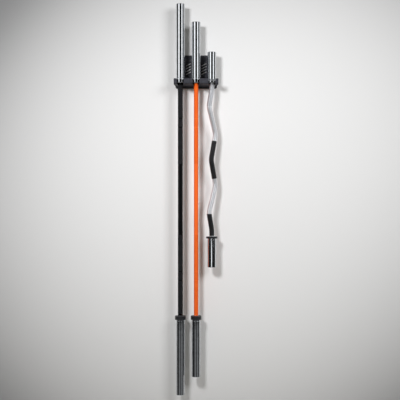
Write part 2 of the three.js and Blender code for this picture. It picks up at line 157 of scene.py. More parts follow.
def lay_finish(tree, shader, colour, roughness, relief, sockets=None):
    """Fills a shader with colour, roughness and relief, which is (height, depth, strength)."""
    height, depth, strength = relief
    bump = add_node(tree, "Bump", {"Strength": strength, "Distance": depth, "Height": height})
    filled = {"Base Color": colour, "Roughness": roughness, "Normal": bump.outputs[0]}
    fill_sockets(tree, shader, {**filled, **(sockets or {})})


def new_material(name):
    """An empty material with its Principled shader, ready to be filled."""
    material = bpy.data.materials.new(name)
    material.use_nodes = True
    return material, material.node_tree, material.node_tree.nodes["Principled BSDF"]


def object_coordinates(tree, centre=(0.0, 0.0, 0.0)):
    """The place on the piece in metres, counted from a centre."""
    place = add_node(tree, "TexCoord").outputs["Object"]
    away = tuple(-value for value in centre)
    return add_node(tree, "Mapping", {"Vector": place, "Location": away}).outputs["Vector"]


# %% [markdown]
# The wall is a backdrop and no part of the object. It is a single sheet, painted a pale grey with
# a painted pool of light: the grey darkens to painted shade away from a bright spot, as light
# falls off on a lit wall. From behind it lets the view through, so the rear of the rack can be
# looked at, and it lets light through to that rear. The alternative, a wall that is hidden for
# some views, would need the scene to know where the camera is.

# %% Wall
# The wall's paint goes from the pale colour at a bright spot to a darker grey away from it: a painted
# pool of light and painted shade.
WALL_COLOUR = (0.874, 0.874, 0.878, 1)
WALL_PAINTED_SHADE = (0.2, 0.2, 0.203, 1)
WALL_HALF_WIDTH = 2.6
WALL_TOP = 2.2
FLOOR_HEIGHT = -2.03
WALL_GAP = 0.0004
PAINTED_LIGHT_SPOT = (0.22, 0.0, -0.67)
SPOT_RADII = (1.89, 1.0, 1.66)
SPOT_TILT = math.radians(-25)
SPOT_FALL = 3.0
SPOT_LIMIT = 0.95
SPOT_SOFTNESS = 0.35


def place_sheet(name, width, height, centre, upright):
    """A flat sheet, lying down or standing up and facing the viewer, with its place applied."""
    turn = math.radians(90) if upright else 0
    bpy.ops.object.select_all(action="DESELECT")
    bpy.ops.mesh.primitive_plane_add(size=1, location=centre, rotation=(turn, 0, 0))
    sheet = bpy.context.object
    sheet.name = name
    sheet.scale = (width, height, 1)
    bpy.ops.object.transform_apply(location=True, rotation=True, scale=True)
    return sheet


def wall_paint():
    """Pale paint with a painted pool of light and painted shade, seen and lit from the front only."""
    material, tree, paint = new_material("wall_paint")
    sockets = {"Vector": object_coordinates(tree, PAINTED_LIGHT_SPOT)}
    sockets.update({"Rotation": (0, SPOT_TILT, 0), "Scale": SPOT_RADII})
    oval = add_node(tree, "Mapping", sockets, vector_type="TEXTURE")
    distance = add_node(tree, "VectorMath", {0: oval.outputs["Vector"]}, operation="LENGTH")
    away = calculate(tree, "POWER", distance.outputs["Value"], SPOT_FALL)
    away = calculate(tree, "SMOOTH_MIN", away, SPOT_LIMIT, SPOT_SOFTNESS)
    # painted light and shade: the paint darkens with the distance from the bright spot
    tint = blend_colours(tree, away, WALL_COLOUR, WALL_PAINTED_SHADE)
    sockets = {"Base Color": tint, "Roughness": 0.9, "Specular IOR Level": 0.1}
    fill_sockets(tree, paint, sockets)
    behind = add_node(tree, "NewGeometry").outputs["Backfacing"]
    shadow = add_node(tree, "LightPath").outputs["Is Shadow Ray"]
    see_through = calculate(tree, "MAXIMUM", behind, shadow)
    clear = add_node(tree, "BsdfTransparent").outputs[0]
    chosen = add_node(tree, "MixShader", {0: see_through, 1: paint.outputs[0], 2: clear})
    tree.links.new(chosen.outputs[0], tree.nodes["Material Output"].inputs["Surface"])
    return material


wall_height = WALL_TOP - FLOOR_HEIGHT
wall_middle = (0, WALL_GAP, (WALL_TOP + FLOOR_HEIGHT) / 2)
wall = place_sheet("wall", 2 * WALL_HALF_WIDTH, wall_height, wall_middle, upright=True)
wall.data.materials.append(wall_paint())
print("wall:", 2 * WALL_HALF_WIDTH, "by", round(wall_height, 2))

# %% [markdown]
# The floor lies well below the lowest bar, just under the edge of the picture. It is a pale strip
# along the wall, so that the object stands over something in the views from the side.

# %% Floor
FLOOR_DEPTH = 0.85
FLOOR_DARK = (0.58, 0.56, 0.52, 1)
FLOOR_LIGHT = (0.64, 0.62, 0.58, 1)

floor_middle = (0, -FLOOR_DEPTH / 2, FLOOR_HEIGHT)
floor = place_sheet("floor", 2 * WALL_HALF_WIDTH, FLOOR_DEPTH, floor_middle, upright=False)
floor_material, floor_tree, floor_paint = new_material("floor_paint")
floor_grain = noise(floor_tree, object_coordinates(floor_tree), 3.0, {"Detail": 4.0})
floor_tint = blend_colours(floor_tree, floor_grain, FLOOR_DARK, FLOOR_LIGHT)
fill_sockets(floor_tree, floor_paint, {"Base Color": floor_tint, "Roughness": 0.75})
floor.data.materials.append(floor_material)
floor.visible_glossy = False
print("floor at", FLOOR_HEIGHT)

# %% [markdown]
# Chrome has no colour of its own: it shows the room. The stripes along the sleeves are two tall
# light panels, left and right of the camera, with a dark room between and beside them. A low panel
# in the middle, two dim ones near the ground and a dim floor light what faces down. A curved
# screen in front of the object, open at its top, carries them all. Only mirror-like rays see it,
# so it shapes the reflections and lights nothing. Lamps alone would leave only two small glints.

# %% Studio screen that the chrome reflects
SCREEN_RADIUS = 7.0
SCREEN_HALF_HEIGHT = 7.0
SCREEN_SIDES = 64
PANELS = [
    {"bearing": (-52, -21), "height": (-1.1, 9.0), "light": 1.6},
    {"bearing": (29, 55), "height": (-1.1, 9.0), "light": 1.6},
    {"bearing": (-14, 4), "height": (-1.8, -1.28), "light": 1.6},
    {"bearing": (-40, 2), "height": (-7.0, -2.46), "light": 0.17},
    {"bearing": (20, 60), "height": (-7.0, -2.46), "light": 0.19},
    {"bearing": (-200, 200), "height": (-9.0, -7.6), "light": 0.25},
]
PANEL_EDGE_DEGREES = 4
PANEL_EDGE_HEIGHT = 0.08
PANEL_TINT = (0.97, 0.985, 1, 1)
ROOM_LIGHT = 0.015

bpy.ops.object.select_all(action="DESELECT")
bpy.ops.mesh.primitive_circle_add(
    vertices=SCREEN_SIDES, radius=SCREEN_RADIUS, fill_type="NGON", location=(0, 0, CAMERA_PLACE[2])
)
screen = bpy.context.object
screen.name = "studio_screen"
bpy.ops.object.transform_apply(location=True)
bpy.ops.object.mode_set(mode="EDIT")
bpy.ops.mesh.select_all(action="SELECT")
bpy.ops.transform.translate(value=(0, 0, -SCREEN_HALF_HEIGHT))
bpy.ops.mesh.extrude_region_move(
    TRANSFORM_OT_translate={"value": (0, 0, 2 * SCREEN_HALF_HEIGHT)}
)
bpy.ops.mesh.delete(type="ONLY_FACE")
bpy.ops.mesh.select_all(action="SELECT")
bpy.ops.mesh.bisect(plane_co=(0, WALL_GAP, 0), plane_no=(0, 1, 0), clear_outer=True)
bpy.ops.object.mode_set(mode="OBJECT")
screen.visible_camera = False
screen.visible_diffuse = False
screen.visible_shadow = False

screen_material, screen_tree, _ = new_material("studio_screen")
screen_place = add_node(screen_tree, "SeparateXYZ", {0: object_coordinates(screen_tree)})
forward = calculate(screen_tree, "MULTIPLY", screen_place.outputs["Y"], -1.0)
bearing = calculate(screen_tree, "ARCTAN2", screen_place.outputs["X"], forward)
bearing = calculate(screen_tree, "DEGREES", bearing)
strength = ROOM_LIGHT
for panel in PANELS:
    across = band_between(screen_tree, bearing, *panel["bearing"], PANEL_EDGE_DEGREES)
    upwards = band_between(screen_tree, screen_place.outputs["Z"], *panel["height"], PANEL_EDGE_HEIGHT)
    lit = calculate(screen_tree, "MULTIPLY", across, upwards)
    strength = calculate(screen_tree, "MULTIPLY_ADD", lit, panel["light"], strength)
glow = add_node(screen_tree, "Emission", {"Color": PANEL_TINT, "Strength": strength})
screen_tree.links.new(glow.outputs[0], screen_tree.nodes["Material Output"].inputs["Surface"])
screen.data.materials.append(screen_material)
print("light panels on the screen:", len(PANELS))

# %% [markdown]
# Two soft lamps light the wall and the object. The strong one hangs high on the left and throws
# each bar's shadow to its right and down, and the weak one on the right fills that shadow. The
# world adds an even light from all sides. Mirror-like rays don't see the lamps, because the
# screen already holds the panels.

# %% Lamps and world
KEY_PLACE = (-1.05, -2.8, 0.66)
KEY_WATTS = 66
KEY_SIZE = 0.55
FILL_PLACE = (2.0, -2.8, 0.8)
FILL_WATTS = 62
FILL_SIZE = 1.4
LAMP_TARGET = Vector((0, 0, -1.4))
AMBIENT = 0.13
AMBIENT_TINT = (1.0, 0.96, 0.82, 1)
LAMP_TINT = (0.985, 0.99, 1.0)
BACKGROUND = 0.82
BACKGROUND_TINT = (0.98, 0.99, 1, 1)


def hang_lamp(name, place, watts, size):
    """A square soft lamp that points low, at the target that both lamps share."""
    aim = (LAMP_TARGET - Vector(place)).to_track_quat("-Z", "Y").to_euler()
    bpy.ops.object.select_all(action="DESELECT")
    bpy.ops.object.light_add(type="AREA", location=place, rotation=aim)
    lamp = bpy.context.object
    lamp.name = name
    lamp.data.energy = watts
    lamp.data.size = size
    lamp.data.color = LAMP_TINT
    lamp.visible_glossy = False
    return lamp


hang_lamp("key_lamp", KEY_PLACE, KEY_WATTS, KEY_SIZE)
hang_lamp("fill_lamp", FILL_PLACE, FILL_WATTS, FILL_SIZE)

world = bpy.data.worlds.new("studio_world")
scene.world = world
world.use_nodes = True
world_tree = world.node_tree
rays = add_node(world_tree, "LightPath")
seen = calculate(world_tree, "MAXIMUM", rays.outputs["Is Camera Ray"], rays.outputs["Is Glossy Ray"])
seen = calculate(world_tree, "MAXIMUM", seen, rays.outputs["Is Transmission Ray"])
world_strength = add_node(world_tree, "Mix", {0: seen, 2: AMBIENT, 3: BACKGROUND}).outputs[0]
world_tint = blend_colours(world_tree, seen, AMBIENT_TINT, BACKGROUND_TINT)
background = world_tree.nodes["Background"]
fill_sockets(world_tree, background, {"Color": world_tint, "Strength": world_strength})
print("lamps:", KEY_WATTS, "W and", FILL_WATTS, "W")

# %% [markdown]
# Some effects return in many finishes, so each is a node group with its own inputs: handling
# marks, the orange-peel grain of a sprayed coat, wear along edges, the fine rings that a lathe
# leaves, and the diamonds of a knurl. A group only puts out values that change over the surface,
# and the shader itself stays in each material.


# %% A helper that starts a node group
def new_group(name, inputs, outputs):
    """A node group with float and vector inputs, what it is given, and its end node."""
    group = bpy.data.node_groups.new(name, "ShaderNodeTree")
    for socket, value in inputs.items():
        kind = "NodeSocketVector" if value is None else "NodeSocketFloat"
        made = group.interface.new_socket(socket, in_out="INPUT", socket_type=kind)
        if value is not None:
            made.default_value = value
    for socket in outputs:
        group.interface.new_socket(socket, in_out="OUTPUT", socket_type="NodeSocketFloat")
    source = group.nodes.new("NodeGroupInput")
    sink = group.nodes.new("NodeGroupOutput")
    return group, source.outputs, sink


def use_group(tree, group, sockets):
    """Places a node group in a material, with its own values."""
    made = tree.nodes.new("ShaderNodeGroup")
    made.node_tree = group
    fill_sockets(tree, made, sockets)
    return made.outputs


# %% Handling marks: soft blotches and fine hairlines
BLOTCH_RANGE = (0.4, 0.68)
HAIR_RANGE = (0.62, 0.7)
HAIRS_PER_BLOTCH = 9.0
HAIR_SHARE = 0.25
MARKS_SHARE = 0.8

handling, given, result = new_group("handling_marks", {"Place": None, "Blotch Size": 0.03}, ["Marks"])
blotch_scale = calculate(handling, "DIVIDE", 1.0, given["Blotch Size"])
blotches = noise(handling, given["Place"], blotch_scale, {"Detail": 5.0, "Roughness": 0.6})
hair_scale = calculate(handling, "MULTIPLY", blotch_scale, HAIRS_PER_BLOTCH)
hairlines = noise(handling, given["Place"], hair_scale, {"Detail": 2.0, "Distortion": 1.5})
soft_marks = ramp_between(handling, blotches, *BLOTCH_RANGE)
sharp_marks = ramp_between(handling, hairlines, *HAIR_RANGE)
both_marks = calculate(handling, "MULTIPLY_ADD", sharp_marks, HAIR_SHARE, soft_marks)
fill_sockets(handling, result, {"Marks": calculate(handling, "MULTIPLY", both_marks, MARKS_SHARE)})

# %% Coat grain: the orange peel of a baked powder or a sprayed film
CLUMP_SCALE_SHARE = 0.08
CLUMP_RANGE = (0.35, 0.7)

coat_grain, given, result = new_group(
    "coat_grain", {"Place": None, "Grain Size": 0.0012}, ["Height", "Mottle"]
)
grain_scale = calculate(coat_grain, "DIVIDE", 1.0, given["Grain Size"])
peel = noise(coat_grain, given["Place"], grain_scale, {"Detail": 2.0, "Roughness": 0.5})
clump_scale = calculate(coat_grain, "MULTIPLY", grain_scale, CLUMP_SCALE_SHARE)
clumps = noise(coat_grain, given["Place"], clump_scale, {"Detail": 3.0})
mottle = ramp_between(coat_grain, clumps, *CLUMP_RANGE)
fill_sockets(coat_grain, result, {"Height": peel, "Mottle": mottle})

# %% Edge wear: where corners have been rubbed
FULLY_WORN = 0.62
PATCH_RANGE = (0.5, 0.66)

edge_wear, given, result = new_group(
    "edge_wear", {"Place": None, "Patch Size": 0.01, "Start": 0.53}, ["Mask"]
)
sharpness = add_node(edge_wear, "NewGeometry").outputs["Pointiness"]
patch_scale = calculate(edge_wear, "DIVIDE", 1.0, given["Patch Size"])
patches = noise(edge_wear, given["Place"], patch_scale, {"Detail": 6.0, "Roughness": 0.7})
worn_edge = ramp_between(edge_wear, sharpness, given["Start"], FULLY_WORN)
worn_patch = ramp_between(edge_wear, patches, *PATCH_RANGE)
fill_sockets(edge_wear, result, {"Mask": calculate(edge_wear, "MULTIPLY", worn_edge, worn_patch)})

# %% Turning rings: what a lathe tool leaves around a round piece
BROAD_RING_SHARE = 0.04


def noise_in_line(tree, count, detail):
    """Noise that changes along one line only."""
    sockets = {"W": count, "Scale": 1.0, "Detail": detail}
    return add_node(tree, "TexNoise", sockets, noise_dimensions="1D").outputs["Fac"]


turning, given, result = new_group(
    "turning_rings", {"Along": 0.0, "Ring Pitch": 0.0006}, ["Height", "Streaks"]
)
ring_count = calculate(turning, "DIVIDE", given["Along"], given["Ring Pitch"])
broad_count = calculate(turning, "MULTIPLY", ring_count, BROAD_RING_SHARE)
heights = noise_in_line(turning, ring_count, 3.0)
streaks = noise_in_line(turning, broad_count, 2.0)
fill_sockets(turning, result, {"Height": heights, "Streaks": streaks})

# %% Knurl: two sets of spiral grooves that cross and leave pointed diamonds
knurl, given, result = new_group(
    "knurl", {"Around": 0.0, "Along": 0.0, "Teeth": 60.0, "Pitch": 0.003}, ["Height"]
)
turns = calculate(knurl, "MULTIPLY", given["Around"], given["Teeth"])
climb = calculate(knurl, "DIVIDE", given["Along"], given["Pitch"])
grooves = []
for sign in ("ADD", "SUBTRACT"):
    spiral = calculate(knurl, sign, turns, climb)
    grooves.append(calculate(knurl, "PINGPONG", spiral, 0.5))
diamond = calculate(knurl, "MULTIPLY", grooves[0], grooves[1])
# each groove reaches a half, so four times their product reaches one
fill_sockets(knurl, result, {"Height": calculate(knurl, "MULTIPLY", diamond, 4.0)})
print("node groups:", len(bpy.data.node_groups))

# %% [markdown]
# The plate and the shelf wear a satin black powder coat. Real powder is never one black: it
# has an orange-peel skin, slight clouds of colour, and a few rubbed edges where steel begins to
# shine through. Mixing a metallic colour in by the wear mask is enough here. A second shader
# layer would add cost and nothing that can be seen.

# %% Powder coat, for the plate, the shelf and the welds
POWDER_BLACK = (0.044, 0.045, 0.055, 1)
POWDER_CLOUD = (0.056, 0.057, 0.068, 1)
BARE_STEEL = (0.16, 0.16, 0.165, 1)
POWDER_SHEEN = 0.1
POWDER_MARKS_SHARE = 0.14
BARE_METAL_SHARE = 0.8
PEEL_DEPTH = 0.2 * MM


def powder_coat(name, grain_size, roughness, wear_start):
    """Black powder over steel, with clouds, orange peel and rubbed edges."""
    material, tree, shader = new_material(name)
    place = object_coordinates(tree)
    grain = use_group(tree, coat_grain, {"Place": place, "Grain Size": grain_size})
    marks = use_group(tree, handling, {"Place": place, "Blotch Size": 35 * MM})
    wear = use_group(tree, edge_wear, {"Place": place, "Start": wear_start})
    clouded = blend_colours(tree, grain["Mottle"], POWDER_BLACK, POWDER_CLOUD)
    coloured = blend_colours(tree, wear["Mask"], clouded, BARE_STEEL)
    rough = calculate(tree, "MULTIPLY_ADD", marks["Marks"], POWDER_MARKS_SHARE, roughness)
    bare = calculate(tree, "MULTIPLY", wear["Mask"], BARE_METAL_SHARE)
    others = {"Metallic": bare, "Specular IOR Level": POWDER_SHEEN}
    lay_finish(tree, shader, coloured, rough, (grain["Height"], PEEL_DEPTH, 0.35), others)
    return material


plate_coat = powder_coat("black_powder_coat", 1.1 * MM, 0.46, 0.53)
weld_coat = powder_coat("coated_weld", 1.6 * MM, 0.42, 0.56)

# %% [markdown]
# The liners are a waxy black plastic that keeps steel off chrome. Under a collar it gets
# polished in places, so its roughness changes in large soft patches, with a fine moulded grain.

# %% Liner plastic
LINER_BLACK = (0.012, 0.0125, 0.0135, 1)
LINER_GREY = (0.026, 0.027, 0.029, 1)
LINER_GRAIN_DEPTH = 0.1 * MM


def liner_plastic():
    """Moulded plastic, polished in patches."""
    material, tree, shader = new_material("liner_plastic")
    place = object_coordinates(tree)
    grain = use_group(tree, coat_grain, {"Place": place, "Grain Size": 0.6 * MM})
    marks = use_group(tree, handling, {"Place": place, "Blotch Size": 12 * MM})
    tint = blend_colours(tree, marks["Marks"], LINER_BLACK, LINER_GREY)
    rough = calculate(tree, "MULTIPLY_ADD", marks["Marks"], -0.2, 0.58)
    lay_finish(tree, shader, tint, rough, (grain["Height"], LINER_GRAIN_DEPTH, 0.3))
    return material


liner_finish = liner_plastic()


# %% [markdown]
# The small steel pieces share one recipe for metal: a colour that drifts a little from place to
# place, a roughness that follows handling marks, and a shallow bump. Zinc, black oxide, spring
# steel and bronze differ only in their values, so one function makes them all.


# %% Metals of the small pieces
BLOTCHES_PER_GRAIN = 14


def plain_metal(name, colour, shade, roughness, spread, grain_size, bump_depth, metallic=1.0):
    """A metal whose colour and roughness drift, with a fine grain."""
    material, tree, shader = new_material(name)
    place = object_coordinates(tree)
    grain = use_group(tree, coat_grain, {"Place": place, "Grain Size": grain_size})
    blotch_size = grain_size * BLOTCHES_PER_GRAIN
    marks = use_group(tree, handling, {"Place": place, "Blotch Size": blotch_size})
    tint = blend_colours(tree, grain["Mottle"], colour, shade)
    rough = calculate(tree, "MULTIPLY_ADD", marks["Marks"], spread, roughness)
    relief = (grain["Height"], bump_depth, 0.4)
    lay_finish(tree, shader, tint, rough, relief, {"Metallic": metallic})
    return material


zinc = plain_metal(
    "zinc_plate", (0.50, 0.51, 0.53, 1), (0.40, 0.41, 0.44, 1), 0.3, 0.2, 0.9 * MM, 0.08 * MM
)
black_oxide = plain_metal(
    "black_oxide", (0.020, 0.021, 0.023, 1), (0.035, 0.035, 0.036, 1), 0.38, 0.15, 0.4 * MM,
    0.03 * MM, metallic=0.6
)
bronze = plain_metal(
    "oiled_bronze", (0.46, 0.25, 0.09, 1), (0.30, 0.15, 0.05, 1), 0.38, 0.18, 0.5 * MM, 0.06 * MM
)
spring_steel = plain_metal(
    "spring_steel", (0.12, 0.125, 0.13, 1), (0.08, 0.08, 0.085, 1), 0.4, 0.2, 0.6 * MM, 0.04 * MM
)
washer_steel = plain_metal(
    "ground_steel", (0.62, 0.63, 0.64, 1), (0.52, 0.53, 0.55, 1), 0.2, 0.15, 0.3 * MM, 0.02 * MM
)

# %% [markdown]
# The sleeves are turned and then chromed. They are nearly mirrors, so what makes them look real
# is small: rings too fine to count, a slow change of gloss along the length, and the rubbed bands
# where plates have slid on and off. The rings depend only on the height, because they run around
# a vertical bar.

# %% Chrome of the sleeves
CHROME = (0.66, 0.68, 0.70, 1)
CHROME_RUBBED = (0.56, 0.575, 0.59, 1)
CHROME_RING_PITCH = 0.5 * MM
CHROME_RING_DEPTH = 0.004 * MM


def turned_chrome(name, bright, rubbed, roughness, spread, ring_depth):
    """Chrome over a turned surface."""
    material, tree, shader = new_material(name)
    place = object_coordinates(tree)
    height = add_node(tree, "SeparateXYZ", {0: place}).outputs["Z"]
    rings = use_group(tree, turning, {"Along": height, "Ring Pitch": CHROME_RING_PITCH})
    marks = use_group(tree, handling, {"Place": place, "Blotch Size": 20 * MM})
    tint = blend_colours(tree, marks["Marks"], bright, rubbed)
    streaked = calculate(tree, "MULTIPLY_ADD", rings["Streaks"], spread, roughness)
    rough = calculate(tree, "MULTIPLY_ADD", marks["Marks"], spread, streaked)
    lay_finish(tree, shader, tint, rough, (rings["Height"], ring_depth, 0.2), {"Metallic": 1})
    return material


sleeve_chrome = turned_chrome(
    "sleeve_chrome", CHROME, CHROME_RUBBED, 0.045, 0.05, CHROME_RING_DEPTH
)

# %% [markdown]
# An end cap is faced on the lathe, so its rings run around the bar's axis and show on the flat
# top. The pattern needs each bar's own centre, and the distance from it takes the place of the
# height.


# %% Satin chrome of the end caps
FACED_BRIGHT = (0.62, 0.63, 0.65, 1)
FACED_DARK = (0.5, 0.51, 0.53, 1)
FACED_RING_PITCH = 0.35 * MM
FACED_RING_DEPTH = 0.02 * MM


def faced_chrome(name, centre):
    """Satin chrome with rings around one bar's axis."""
    material, tree, shader = new_material(name)
    place = add_node(tree, "SeparateXYZ", {0: object_coordinates(tree, (*centre, 0))})
    squares = calculate(tree, "MULTIPLY", place.outputs["X"], place.outputs["X"])
    squares = calculate(tree, "MULTIPLY_ADD", place.outputs["Y"], place.outputs["Y"], squares)
    radius = calculate(tree, "SQRT", squares)
    rings = use_group(tree, turning, {"Along": radius, "Ring Pitch": FACED_RING_PITCH})
    tint = blend_colours(tree, rings["Streaks"], FACED_BRIGHT, FACED_DARK)
    rough = calculate(tree, "MULTIPLY_ADD", rings["Streaks"], 0.2, 0.14)
    lay_finish(tree, shader, tint, rough, (rings["Height"], FACED_RING_DEPTH, 0.3), {"Metallic": 1})
    return material


# %% [markdown]
# The straight shafts are knurled for grip, then coated. The knurl stops for two narrow marks at
# each end and for the smooth stretch in the middle, where it would scrape the lifter. On a
# straight bar the diamonds come from the angle around the bar's axis and the height. The coating
# wears first on the diamonds' points, so the points are a little lighter than the valleys.

# %% Where the knurl runs on a straight shaft, from the collar inwards
KNURL_START = 0.012
RING_MARKS = (0.200, 0.250)
RING_MARK_WIDTH = 0.005
KNURL_END = 0.455


def knurl_bands(grip_length):
    """The stretches with a knurl, as distances down from the upper collar's face."""
    half_mark = RING_MARK_WIDTH / 2
    stops = [KNURL_START]
    for mark in RING_MARKS:
        stops += [mark - half_mark, mark + half_mark]
    stops.append(KNURL_END)
    upper = list(zip(stops[0::2], stops[1::2]))
    lower = [(grip_length - end, grip_length - start) for start, end in reversed(upper)]
    return upper + lower


def band_mask(tree, along, bands, edge):
    """One on the bands and nought between them."""
    total = 0.0
    for start, end in bands:
        total = calculate(tree, "ADD", band_between(tree, along, start, end, edge), total)
    return total


# %% Coated and knurled shaft
KNURL_TEETH = 60
KNURL_PITCH = 3.0 * MM
KNURL_DEPTH = 0.35 * MM
BAND_EDGE = 0.6 * MM
SHAFT_MARKS_SHARE = 0.08


def knurl_pattern(tree, around, along):
    """The diamonds' height, from the turn around a shaft and the length along it."""
    sockets = {"Around": around, "Along": along, "Teeth": KNURL_TEETH, "Pitch": KNURL_PITCH}
    return use_group(tree, knurl, sockets)["Height"]


def coated_shaft(name, bar, valley, point, smooth, roughness, smooth_roughness, sheen):
    """A thin coating over a knurled shaft, worn on the knurl's points."""
    material, tree, shader = new_material(name)
    low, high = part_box(f"{bar}_top_sleeve")
    _, lower_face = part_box(f"{bar}_bottom_sleeve")
    centre = ((low.x + high.x) / 2, (low.y + high.y) / 2, low.z)
    place = add_node(tree, "SeparateXYZ", {0: object_coordinates(tree, centre)})
    along = calculate(tree, "MULTIPLY", place.outputs["Z"], -1.0)
    angle = calculate(tree, "ARCTAN2", place.outputs["Y"], place.outputs["X"])
    around = calculate(tree, "DIVIDE", angle, 2 * math.pi)
    diamonds = knurl_pattern(tree, around, along)
    bands = knurl_bands(low.z - lower_face.z)
    mask = band_mask(tree, along, bands, BAND_EDGE)
    marks = use_group(tree, handling, {"Place": object_coordinates(tree), "Blotch Size": 30 * MM})
    worn = calculate(tree, "MULTIPLY", diamonds, marks["Marks"])
    rubbed = blend_colours(tree, worn, valley, point)
    coloured = blend_colours(tree, mask, smooth, rubbed)
    rough = ramp_between(tree, mask, 0.0, 1.0, smooth_roughness, roughness)
    rough = calculate(tree, "MULTIPLY_ADD", marks["Marks"], SHAFT_MARKS_SHARE, rough)
    relief = (calculate(tree, "MULTIPLY", diamonds, mask), KNURL_DEPTH, 0.8)
    lay_finish(tree, shader, coloured, rough, relief, {"Specular IOR Level": sheen})
    return material


black_shaft = coated_shaft(
    "black_shaft_coat", "long_bar", (0.011, 0.0112, 0.0125, 1), (0.036, 0.037, 0.041, 1),
    (0.002, 0.002, 0.0024, 1), 0.42, 0.14, 0.13
)
orange_shaft = coated_shaft(
    "orange_shaft_coat", "middle_bar", (0.90, 0.125, 0.012, 1), (1.0, 0.24, 0.04, 1),
    (0.97, 0.15, 0.02, 1), 0.5, 0.42, 0.25
)

# %% [markdown]
# The curl bar's shaft is satin chrome, and its grips are roughened: bright by the upper
# collar, and blackened in the middle and by the lower collar. Its centre line zigzags, so an
# angle around one axis would smear the diamonds. The swept mesh carries a UV map instead, whose U
# goes once around the section and whose V is the length along the bar in metres.


# %% Finishes of the curl bar's shaft
POLISH_DEPTH = 0.004 * MM
POLISH_RING_PITCH = 0.8 * MM
SWEPT_MARKS_SHARE = 0.06


def swept_finish(name, bright, rubbed, roughness, metallic, knurl_depth):
    """A finish that follows the swept shaft's own UV map."""
    material, tree, shader = new_material(name)
    map_place = add_node(tree, "UVMap", uv_map="along_the_bar").outputs["UV"]
    steps = add_node(tree, "SeparateXYZ", {0: map_place})
    along = steps.outputs["Y"]
    marks = use_group(tree, handling, {"Place": object_coordinates(tree), "Blotch Size": 20 * MM})
    if knurl_depth > 0:
        height = knurl_pattern(tree, steps.outputs["X"], along)
        depth = knurl_depth
        share = calculate(tree, "MULTIPLY", height, marks["Marks"])
    else:
        rings = use_group(tree, turning, {"Along": along, "Ring Pitch": POLISH_RING_PITCH})
        height = rings["Height"]
        depth = POLISH_DEPTH
        share = marks["Marks"]
    tint = blend_colours(tree, share, bright, rubbed)
    rough = calculate(tree, "MULTIPLY_ADD", marks["Marks"], SWEPT_MARKS_SHARE, roughness)
    lay_finish(tree, shader, tint, rough, (height, depth, 0.5), {"Metallic": metallic})
    return material


curl_polished = swept_finish(
    "curl_polished", (0.87, 0.88, 0.91, 1), (0.8, 0.81, 0.84, 1), 0.33, 0.72, 0.0
)
curl_bright_grip = swept_finish(
    "curl_bright_grip", (0.66, 0.67, 0.7, 1), (0.86, 0.87, 0.9, 1), 0.3, 0.72, KNURL_DEPTH
)
curl_black_grip = swept_finish(
    "curl_black_grip", (0.006, 0.006, 0.007, 1), (0.03, 0.03, 0.032, 1), 0.4, 0.0, KNURL_DEPTH
)
print("materials:", len(bpy.data.materials))

# %% [markdown]
# Nearly every piece of a bar is a turned one. A lathe works from a half outline beside the
# axis, and so does this helper: one vertex is pulled from corner to corner, each corner is
# rounded a little, and the outline is spun around the bar's axis. Stacking cylinder primitives
# would leave seams inside, and their edges would be knife sharp.

# %% Helpers for modelling
ROUND_SIDES = 96
CORNER_ROUNDING = 0.35 * MM
SAME_PLACE = 0.01 * MM
SMOOTH_BELOW = math.radians(32)


def start_vertex(name, place):
    """A new piece, open in edit mode, that is still one vertex."""
    bpy.ops.object.select_all(action="DESELECT")
    bpy.ops.mesh.primitive_plane_add(size=1)
    piece = bpy.context.object
    piece.name = name
    bpy.ops.object.mode_set(mode="EDIT")
    bpy.ops.mesh.select_all(action="SELECT")
    bpy.ops.mesh.merge(type="CENTER")
    bpy.ops.transform.translate(value=place)
    return piece


def draw_outline(points):
    """Pulls the selected vertex from point to point."""
    for before, after in zip(points, points[1:]):
        step = tuple(end - start for start, end in zip(before, after))
        bpy.ops.mesh.extrude_vertices_move(TRANSFORM_OT_translate={"value": step})


def select_vertices(piece, wanted):
    """Selects the vertices whose place passes a test, and nothing else."""
    bpy.ops.mesh.select_mode(type="VERT")
    bpy.ops.mesh.select_all(action="DESELECT")
    shape = bmesh.from_edit_mesh(piece.data)
    for vertex in shape.verts:
        vertex.select = wanted(vertex.co)
    shape.select_flush_mode()
    bmesh.update_edit_mesh(piece.data)


def merge_doubles():
    """Selects everything and merges what lies together."""
    bpy.ops.mesh.select_all(action="SELECT")
    bpy.ops.mesh.remove_doubles(threshold=SAME_PLACE)


def fill_open_rims():
    """Closes every rim that is still open with a face."""
    bpy.ops.mesh.select_all(action="DESELECT")
    bpy.ops.mesh.select_non_manifold()
    bpy.ops.mesh.fill_holes(sides=0)


def close_surface():
    """Merges what lies together, turns all faces outwards and leaves edit mode."""
    merge_doubles()
    bpy.ops.mesh.normals_make_consistent(inside=False)
    bpy.ops.object.mode_set(mode="OBJECT")


def turn_on_lathe(name, outline, axis, rounding=CORNER_ROUNDING, sides=ROUND_SIDES, turn=360):
    """Spins an outline of (radius, height) points around a vertical axis."""
    points = [(axis[0] + radius, axis[1], height) for radius, height in outline]
    piece = start_vertex(name, points[0])
    draw_outline(points)
    merge_doubles()
    select_vertices(piece, lambda place: place.x - axis[0] > SAME_PLACE)
    bpy.ops.mesh.bevel(offset=rounding, segments=2, affect="VERTICES", clamp_overlap=True)
    bpy.ops.mesh.select_all(action="SELECT")
    centre = (axis[0], axis[1], 0)
    bpy.ops.mesh.spin(steps=sides, angle=math.radians(turn), center=centre, axis=(0, 0, 1))
    if turn < 360:
        merge_doubles()
        fill_open_rims()
    close_surface()
    return piece


def choose(piece):
    """Makes one object the only selected one."""
    bpy.ops.object.select_all(action="DESELECT")
    piece.select_set(True)
    bpy.context.view_layer.objects.active = piece


def apply_modifier(piece, kind, **options):
    """Adds a modifier to a piece, sets it and applies it."""
    choose(piece)
    modifier = piece.modifiers.new(kind.lower(), kind)
    for name, value in options.items():
        setattr(modifier, name, value)
    bpy.ops.object.modifier_apply(modifier=modifier.name)


